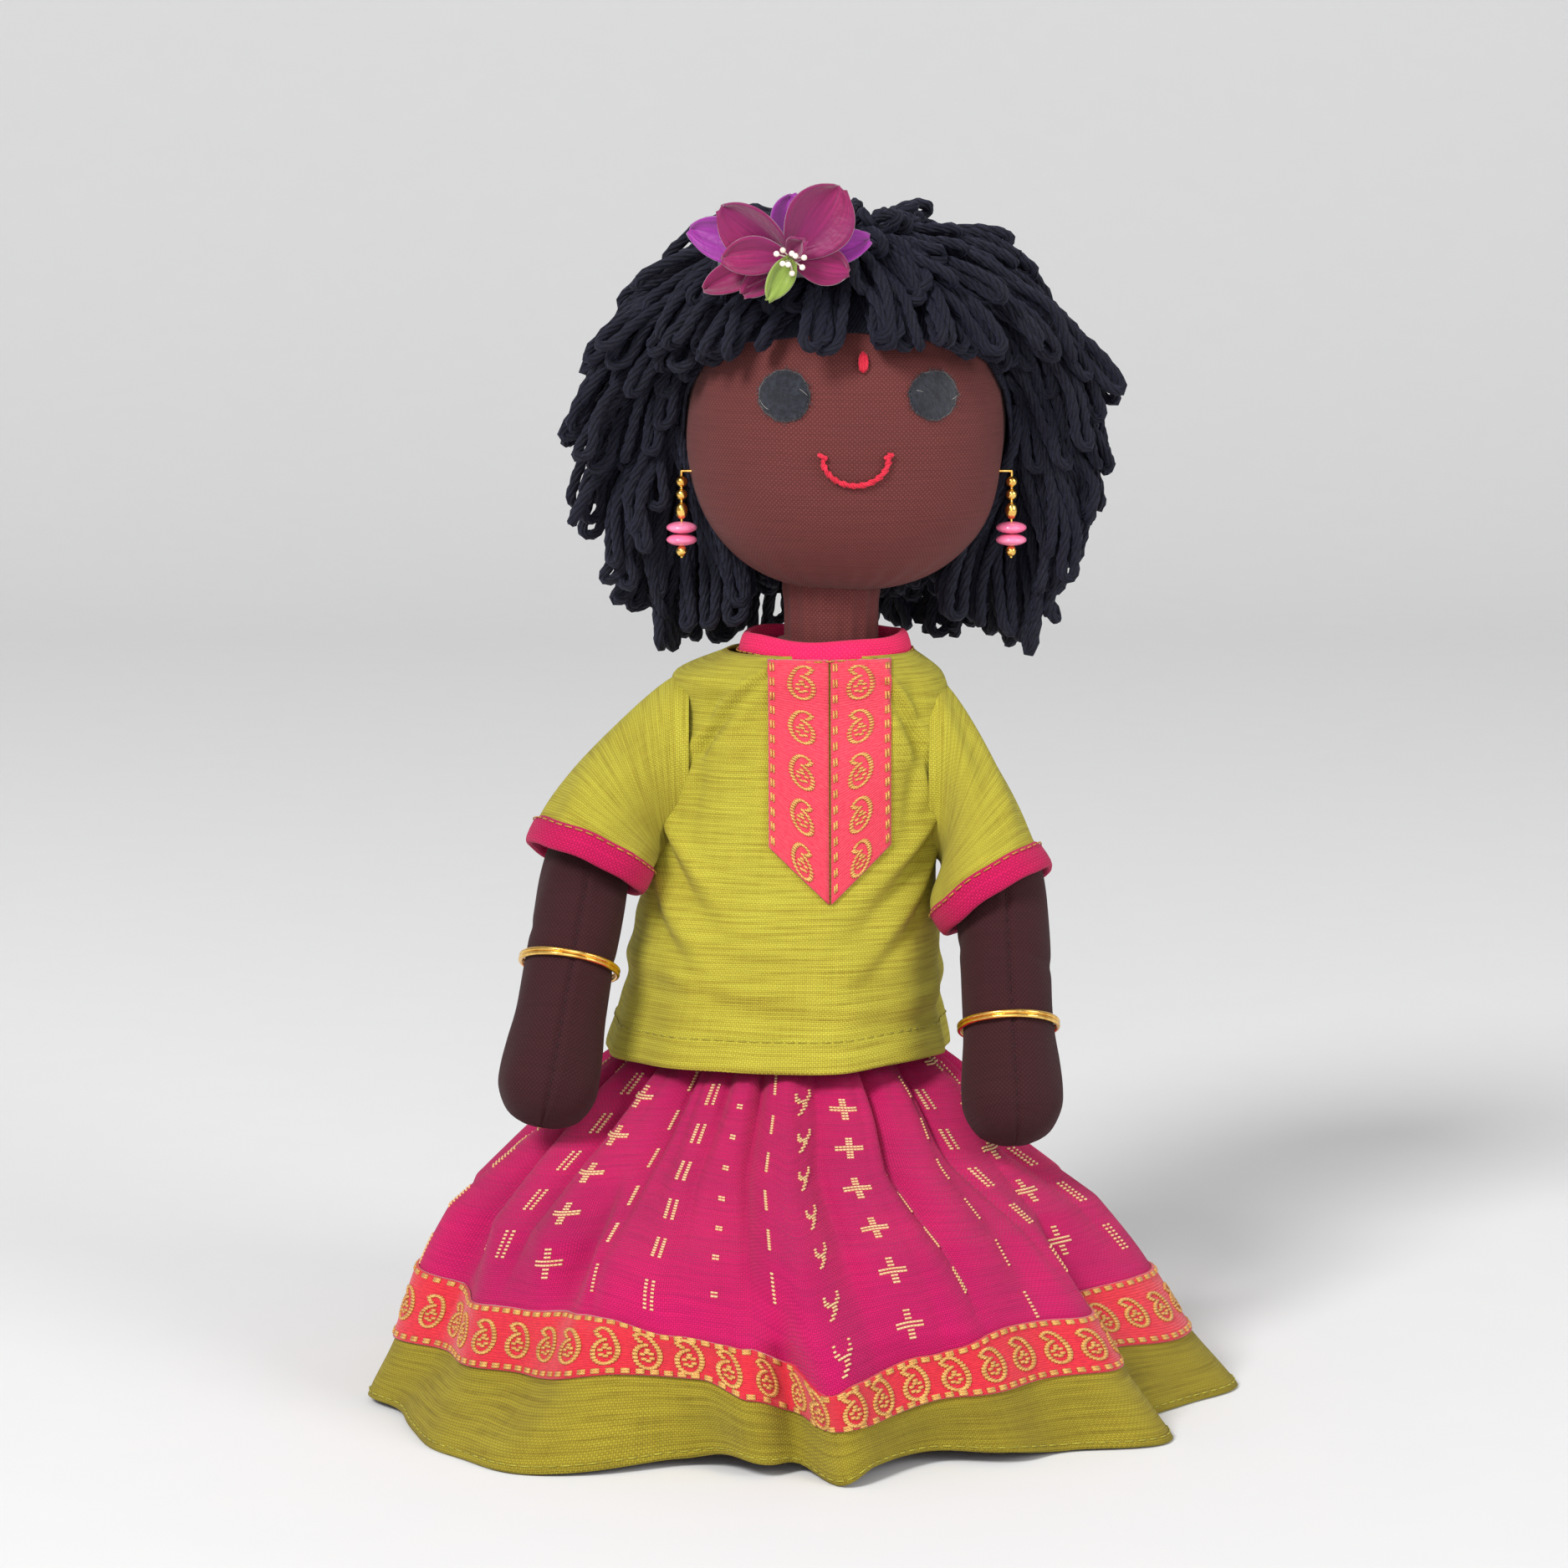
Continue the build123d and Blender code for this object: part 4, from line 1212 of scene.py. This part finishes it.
def make_face():
    for side, seed in (("left", 3), ("right", 4)):
        centre, half = middle(f"eye_patch_{side}"), half_size(f"eye_patch_{side}")
        place = (centre[0], centre[2])
        radius = half[2] * (0.97 if side == "left" else 1.02)
        eye = felt_disc(f"eye_{side}_felt", place, radius, seed)
        fuzz = fibres(f"eye_{side}_fuzz", place, radius, seed + 10, 150, 0.9, 0.04, FELT, 0.12)
        white = fibres(f"eye_{side}_pale_fibres", place, radius * 0.8, seed + 20, 2, 3.0, 0.035, WHITE_THREAD, 0.9)
        belongs(eye, "charcoal_felt", "head", f"eye_patch_{side}")
        belongs(fuzz, "charcoal_felt", "head")
        belongs(white, "charcoal_felt", "head")

    low, high = box_mm("mouth_stitch")
    centre_x, top_z = (low[0] + high[0]) / 2, high[2]
    radius, drop = (high[0] - low[0]) / 2 - 1.6, 0.84
    strokes = []
    for k in range(11):
        a, b = -92 + k * 16.7, -92 + k * 16.7 + 25
        angle = np.radians(np.linspace(a, b, 9))
        drift = np.linspace(-0.34, 0.34, 9)
        x = centre_x + (radius + drift) * np.sin(angle)
        z = top_z - (radius + drift) * drop * np.cos(angle)
        strokes.append(on_face(x, z, 0.42 + 0.4 * np.sin(np.linspace(0, math.pi, 9))))
    for side in (-1, 1):
        t = np.linspace(-1.3, 1.3, 9)
        x = centre_x + side * radius + t * 0.75
        strokes.append(on_face(x, top_z + 0.4 + 0.35 * side * t, 0.45 + 0.4 * np.cos(t)))
    smile = tubes("mouth_stitches", np.array(strokes), 0.55, RED_THREAD, sides=9, ply=2, ply_depth=0.12, pitch=2.4)
    belongs(smile, "red_thread", "head", "mouth_stitch")
    centre = middle("bindi_knot")
    strokes = []
    for shift, size in ((-0.7, 1.9), (0.0, 2.3), (0.7, 1.8)):
        z = np.linspace(-size, size, 9) + centre[2] + 1.2
        strokes.append(on_face(centre[0] + shift * np.cos(np.linspace(-1, 1, 9)), z,
                               0.5 + 0.6 * np.cos(np.linspace(-1.5, 1.5, 9))))
    dot = tubes("bindi_stitches", np.array(strokes), 0.55, RED_THREAD, sides=9, ply=2, ply_depth=0.12, pitch=2.4)
    belongs(dot, "red_thread", "head", "bindi_knot")


# ---------------------------------------------------------------- hair

SHELL_LENGTH = 70.0             # from the crown to the head's widest level, along the hair
YARN_RADIUS = 1.3
HAIR_KEYS = [-180, -135, -100, -80, -60, -35, 0, 35, 60, 80, 100, 135]
HAIR_DEPTH = [23, 26, 33, 30, 20, 11, 8, 11, 18, 26, 29, 26]
TIP_KEYS = [-180, -100, -92, -84, -76, -64, -50, 0, 50, 64, 74, 82, 90, 100]
TIP_REACH = [124, 126, 118, 88, 66, 58, 52.5, 49, 52.5, 58, 66, 84, 116, 126]


def hair_place(alpha, s, h, lateral=0.0, gather=0.0):
    """A point in the hair: alpha degrees round from the front, s mm down from the crown, h mm off the head.

    gather draws the hanging part in towards the neck."""
    rise = np.radians(90 * (1 - np.clip(s / SHELL_LENGTH, 0.0, 1)))
    hang = np.maximum(s - SHELL_LENGTH, 0)
    round_size = np.maximum((38 + h) * np.cos(rise), 13.0)
    turn = np.radians(alpha) + lateral / round_size
    tuck = 15.0 * smooth((hang - 8) / 46) * smooth((h - 6) / 16) + gather * smooth(hang / 42)
    wide = (HEAD_HALF[0] + h) * np.cos(rise) - tuck * np.cos(rise)
    deep = (HEAD_HALF[1] + h) * np.cos(rise) - tuck * np.cos(rise)
    return np.stack([HEAD[0] + wide * np.sin(turn), HEAD[1] - deep * np.cos(turn),
                     HEAD[2] + (HEAD_HALF[2] + h) * np.sin(rise) - hang], -1)


def hair_loop(local, alpha, tip, length, depth, count=66, gather=0.0):
    """One hairpin of yarn: down from its root, round its tip and back up, swept sideways in clumps."""
    front = smooth((95 - abs(wrap(alpha))) / 30)
    sweep = 5.0 * np.sin(np.radians(alpha) * 5.3 + 1.2) + front * 7.0 * np.tanh(wrap(alpha) / 22)
    width = local.uniform(1.7, 2.9)
    root = max(tip - length, 1.0)
    straight = max(tip - root - width, 4.0)
    total = 2 * straight + math.pi * width
    u = np.linspace(0, total, count)
    angle = np.clip((u - straight) / width, 0, math.pi)
    back = np.maximum(u - straight - math.pi * width, 0)
    s = root + np.minimum(u, straight) + width * np.sin(angle) - back
    lateral = -width * np.cos(angle) * (0.62 + 0.38 * np.clip((s - root) / (tip - root), 0, 1))
    share = np.clip((s - root) / (tip - root), 0, 1)
    sway = local.normal(0, 2.2) * np.sin(share * local.uniform(1.5, 3.6) + local.uniform(0, 6))
    lean = (local.normal(0, 4.6) + sweep) * share ** 1.6
    roll = local.uniform(-1.3, 1.3) + local.normal(0, 2.0) * share
    flare = 2.0 + (depth - 2.0) * share ** 1.25 + lateral * np.sin(roll) * 0.9
    flare += 1.3 * np.sin(share * 6 + local.uniform(0, 6)) * share
    flare -= depth * local.uniform(0.0, 0.22) * smooth((share - 0.72) / 0.28)
    h = np.maximum(flare, 1.7)
    return hair_place(alpha, s, h, lateral * np.cos(roll) + sway + lean, gather)


def hair_loops(seed):
    """Hairpins in overlapping rows, as (angle, tip, path)."""
    local = np.random.default_rng(seed)
    found = []
    step = 11.5
    for row in range(11):
        for layer, (share, spacing) in enumerate(((1.0, 6.0), (0.62, 7.0), (0.3, 8.0))):
            alpha = -180.0 + local.uniform(0, 5)
            while alpha < 180:
                tip = float(periodic(TIP_KEYS, TIP_REACH, alpha)) - row * step - layer * 1.5
                full = float(periodic(HAIR_KEYS, HAIR_DEPTH, alpha))
                crown = 1 - min(max(tip, 0), SHELL_LENGTH) / SHELL_LENGTH
                depth = full + (15 - full) * crown ** 0.8
                if not row and not layer:
                    tip -= 9 * smooth((full - 14) / 14)
                at = (38 + depth) * math.cos(math.radians(90 * crown))
                at = max(at, 13.0)
                close = 0.78 if abs(wrap(alpha)) < 75 else 1.0
                jump = math.degrees(spacing * close / at)
                wanted = tip > 12 and not (layer and crown > 0.5) and not (layer == 2 and full < 13)
                if wanted:
                    size = local.uniform(34, 50)
                    here = alpha + local.normal(0, 0.12) * jump
                    path = hair_loop(local, here, tip + local.normal(0, 1.5), size,
                                     depth * share * local.uniform(0.86, 1.04))
                    found.append((wrap(here).item(), tip, path))
                alpha += jump * local.uniform(0.88, 1.12)
    for gather, depth, tip in ((17.0, 5.0, 116.0), (12.0, 7.0, 119.0), (6.0, 9.0, 121.0)):
        for alpha in np.arange(84, 277, 7.6):
            here = alpha + local.normal(0, 2.0)
            end = tip - 8 * smooth((abs(wrap(alpha)) - 98) / 26) + local.normal(0, 1.5)
            path = hair_loop(local, here, end, local.uniform(44, 52), depth, gather=gather)
            found.append((wrap(here).item(), tip, path))
    return found


def clear_of_earrings(path):
    """Whether a loop of yarn leaves room for the beads of both earrings as they swing back."""
    for side in ("left", "right"):
        pivot = joint_point(f"earring_swing_{side}")
        for swing in np.radians([0, 4, 8, 12.5]):
            for drop in (11.0, 13.5, 16.5, 19.4):
                bead = pivot + drop * np.array([0, math.sin(swing), -math.cos(swing)])
                room = 5.9 if 12 < drop < 18 else 3.6
                if np.linalg.norm(path - bead, axis=1).min() < room:
                    return False
    return True


def make_hair():
    loops = [(a, s, path) for a, s, path in hair_loops(17) if clear_of_earrings(path)]
    groups = {
        "hair_front": (lambda a, s: abs(a) < 68 and s < 62, ["hair_fringe", "hair_crown"]),
        "hair_side_left": (lambda a, s: 0 < a < 118, ["hair_left"]),
        "hair_side_right": (lambda a, s: -118 < a < 0, ["hair_right"]),
        "hair_back_upper_left": (lambda a, s: s < 80 and a > 0, ["hair_back"]),
        "hair_back_upper_right": (lambda a, s: s < 80, []),
        "hair_back_lower_left": (lambda a, s: a > 0, []),
        "hair_back_lower_right": (lambda a, s: True, []),
    }
    for name, (test, nodes) in groups.items():
        chosen = [path for a, s, path in loops if test(a, s)]
        loops = [(a, s, path) for a, s, path in loops if not test(a, s)]
        yarn = tubes(name + "_yarn", np.array(chosen), YARN_RADIUS, YARN, sides=8, ply=3, ply_depth=0.16, pitch=12.0)
        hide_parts(*nodes)
        belongs(yarn, "black_yarn", "head")

    share, phi = rings(40, 120)
    reach = np.minimum(periodic(TIP_KEYS, TIP_REACH, phi) - 7, 92)
    cap = cloth("hair_cap", hair_place(phi, 0.6 + reach * share, 1.6 + 0 * share), YARN, 0.7)
    belongs(cap, "black_yarn", "head")


# ---------------------------------------------------------------- flower

def petal(name, base, toward, face, length, width, cup, curl, material, seed, shape=1.3):
    """A cupped petal from its base, growing toward one way and facing another."""
    toward = np.array(toward, float) / np.linalg.norm(toward)
    face = np.array(face, float)
    face -= toward * face.dot(toward)
    face /= np.linalg.norm(face)
    across = np.cross(face, toward)
    t, u = np.meshgrid(np.linspace(0, 1, 26), np.linspace(-1, 1, 21), indexing="ij")
    outline = np.sin(math.pi * np.clip(t, 0.02, 0.99) ** shape) ** 0.5
    local = np.random.default_rng(seed)
    ruffle = 0.5 * np.sin(u * local.uniform(3, 5) + local.uniform(0, 6)) * t ** 2
    lift = cup * (u ** 2) * outline + curl * (t ** 2) + ruffle + 0.35 * np.cos(u * 9) * (1 - t) * 0.6
    side = u * outline * width / 2
    points = (np.array(base) + toward * (t * length)[..., None] + across * side[..., None]
              + face * lift[..., None])
    return cloth(name, points[:, ::-1], material, 0.55, closed=False)


PETALS = [
    # name, way it grows, way it faces, length, width, cup, curl, colour, how far back it starts
    ("big_right", (0.58, -0.12, 0.8), (0.2, -1, 0.0), 20, 16.5, 3.6, -2.6, "deep", 0.0),
    ("big_left", (-0.82, -0.15, 0.55), (-0.1, -1, -0.3), 20, 13, 3.2, -3.0, "deep", 0.4),
    ("mid_left", (-0.97, -0.22, 0.02), (-0.1, -1, 0.3), 16, 9.5, 2.8, -2.6, "deep", -1.0),
    ("upper", (0.02, 0.12, 0.98), (0.0, -1, -0.2), 15, 10, 2.6, -2.0, "purple", 1.8),
    ("far_left_low", (-0.93, 0.05, -0.32), (-0.2, -1, 0.3), 22, 8, 2.2, -2.2, "deep", 1.6),
    ("far_left_high", (-0.96, 0.1, 0.26), (-0.2, -1, 0.0), 25, 11, 2.4, -2.6, "purple", 3.0),
    ("low_left", (-0.78, -0.1, -0.6), (0.0, -1, 0.2), 14, 7, 2.2, -1.4, "deep", 0.4),
    ("low_right", (0.86, -0.1, -0.2), (0.1, -1, 0.1), 14, 9.5, 2.0, -1.4, "deep", 0.6),
    ("right_small", (0.95, 0.02, 0.22), (0.2, -1, 0.0), 19, 8.5, 2.2, -1.8, "purple", 2.0),
    ("inner_right", (0.5, -0.5, 0.55), (-0.1, -1, 0.3), 7.5, 6, 2.2, 1.2, "deep", -1.6),
]
FLOWER_SHIFT = np.array([3.0, 0.0, 5.0])    # from the CAD flower to where the photograph has it


def make_flower():
    stamen = middle("flower_stamens") + FLOWER_SHIFT
    base = np.array([stamen[0], middle("flower_petals_back")[1] + 0.5, stamen[2]])
    for k, (name, toward, face, length, width, cup, curl, kind, back) in enumerate(PETALS):
        material = PETAL if kind == "deep" else PETAL_PURPLE
        made = petal(f"petal_{name}", base + [0, back * 0.9, 0], toward, face, length, width, cup, curl,
                     material, 90 + k)
        nodes = [] if k else ["flower_petals_back", "flower_petals_front"]
        belongs(made, "satin_petal", "head", *nodes)
    leaf = petal("flower_leaf_satin", base + [0, -3.2, 0], (-0.45, -0.2, -0.85), (0.3, -1, 0.2), 11, 6.5, 1.4, -1.5,
                 LEAF, 120, shape=0.9)
    belongs(leaf, "green_leaf", "head", "flower_leaf")
    local = np.random.default_rng(5)
    stalks, tips = [], []
    for k in range(9):
        turn, away = k * 0.7 + local.uniform(-0.2, 0.2), local.uniform(1.2, 3.6)
        tip = np.array([stamen[0] + away * math.cos(turn), stamen[1] - local.uniform(0.5, 2.2),
                        stamen[2] + away * math.sin(turn)])
        root = np.array([stamen[0], base[1] - 1, stamen[2]])
        stalks.append(root + (tip - root) * np.linspace(0, 1, 5)[:, None])
        ends = tip + (tip - root) / np.linalg.norm(tip - root) * np.linspace(-0.75, 0.75, 7)[:, None]
        tips.append(ends)
    stem = tubes("flower_stamen_stalks", np.array(stalks), 0.2, STAMEN, sides=6)
    profile = np.sqrt(np.clip(1 - np.linspace(-0.97, 0.97, 7) ** 2, 0.03, 1)) * 0.72
    heads = tubes("flower_stamen_tips", np.array(tips), profile[None], STAMEN, sides=10)
    belongs(stem, "white_stamen", "head")
    belongs(heads, "white_stamen", "head", "flower_stamens")


# ---------------------------------------------------------------- metal, beads and hidden trims

def dress_cad():
    """Procedural materials on the pieces that keep their CAD shapes."""
    finishes = {"skirt_waist_elastic": ELASTIC, "blouse_back_snaps": STEEL, "flower_clip": STEEL}
    for side in ("left", "right"):
        finishes[f"bangle_{side}"] = GOLD
        finishes[f"earring_{side}_wire"] = GOLD
        finishes[f"earring_{side}_gold_beads"] = GOLD
        finishes[f"earring_{side}_pink_beads"] = PINK
    for name, material in finishes.items():
        mesh = frame["nodes"][name].data
        mesh.materials.clear()
        mesh.materials.append(material)
        mesh.polygons.foreach_set("use_smooth", [True] * len(mesh.polygons))


# ---------------------------------------------------------------- studio

def make_stage():
    """A pale sweep: floor that curves up into the background."""
    half, front, back, rise, curve = 6.0, -7.0, 1.6, 5.0, 1.4
    profile = [(front, 0.0), (back, 0.0)]
    profile += [(back + curve * math.sin(a), curve * (1 - math.cos(a))) for a in np.linspace(0, math.pi / 2, 24)[1:]]
    profile.append((back + curve, rise))
    vertices = [(x, y, z) for y, z in profile for x in (-half, half)]
    faces = [(2 * i, 2 * i + 1, 2 * i + 3, 2 * i + 2) for i in range(len(profile) - 1)]
    mesh = bpy.data.meshes.new("studio_sweep")
    mesh.from_pydata(vertices, [], faces)
    mesh.polygons.foreach_set("use_smooth", [True] * len(mesh.polygons))
    floor = bpy.data.objects.new("studio_sweep", mesh)
    bpy.context.scene.collection.objects.link(floor)
    paper = Shader("studio_paper", roughness=0.95)
    grain = paper.noise(paper.place, 40.0, 3.0)
    paper.finish(paper.mix(paper.ramp(grain, 0.3, 0.7), colour(229, 229, 229), colour(228, 228, 229)))
    mesh.materials.append(paper.material)


def area_light(name, place, target, size, power):
    data = bpy.data.lights.new(name, "AREA")
    data.shape, data.size, data.energy = "DISK", size, power
    light = bpy.data.objects.new(name, data)
    bpy.context.scene.collection.objects.link(light)
    light.location = place
    aim(light, target)


def aim(obj, target):
    """Turns a camera or light, which look along -Z, to face a point."""
    direction = np.array(target) - np.array(obj.location)
    flat = math.hypot(direction[0], direction[1])
    obj.rotation_euler = (math.pi / 2 + math.atan2(direction[2], flat), 0,
                          math.atan2(direction[1], direction[0]) - math.pi / 2)


def make_studio():
    make_stage()
    target = (0.0, -0.03, 0.13)
    area_light("key_light", (-1.5, -2.3, 2.3), target, 1.1, 104)
    area_light("fill_light", (2.6, -1.9, 1.5), target, 1.8, 46)
    area_light("front_light", (0.0, -3.8, 1.0), target, 2.4, 26)
    world = bpy.data.worlds.new("studio_world")
    bpy.context.scene.world = world
    world.use_nodes = True
    background = world.node_tree.nodes["Background"]
    background.inputs[0].default_value = (1, 1, 1, 1)
    background.inputs[1].default_value = 0.4
    bpy.context.scene.view_settings.view_transform = "Standard"


def make_camera():
    low, high = np.array(cad_low), np.array(cad_high)
    target = (low + high) / 2 + np.array([-0.004, 0.0, 0.001])
    distance, rise, seen = 1.2, math.radians(8), 0.375
    data = bpy.data.cameras.new("camera")
    data.lens = 36 * distance / seen
    data.clip_start = 0.01
    camera = bpy.data.objects.new("camera", data)
    bpy.context.scene.collection.objects.link(camera)
    camera.location = target + distance * np.array([0, -math.cos(rise), math.sin(rise)])
    aim(camera, target)
    bpy.context.scene.camera = camera


make_torso()
make_legs()
make_arms()
make_skirt()
make_blouse()
make_sleeves()
make_neck()
make_head()
make_face()
make_hair()
make_flower()
dress_cad()
make_studio()
make_camera()
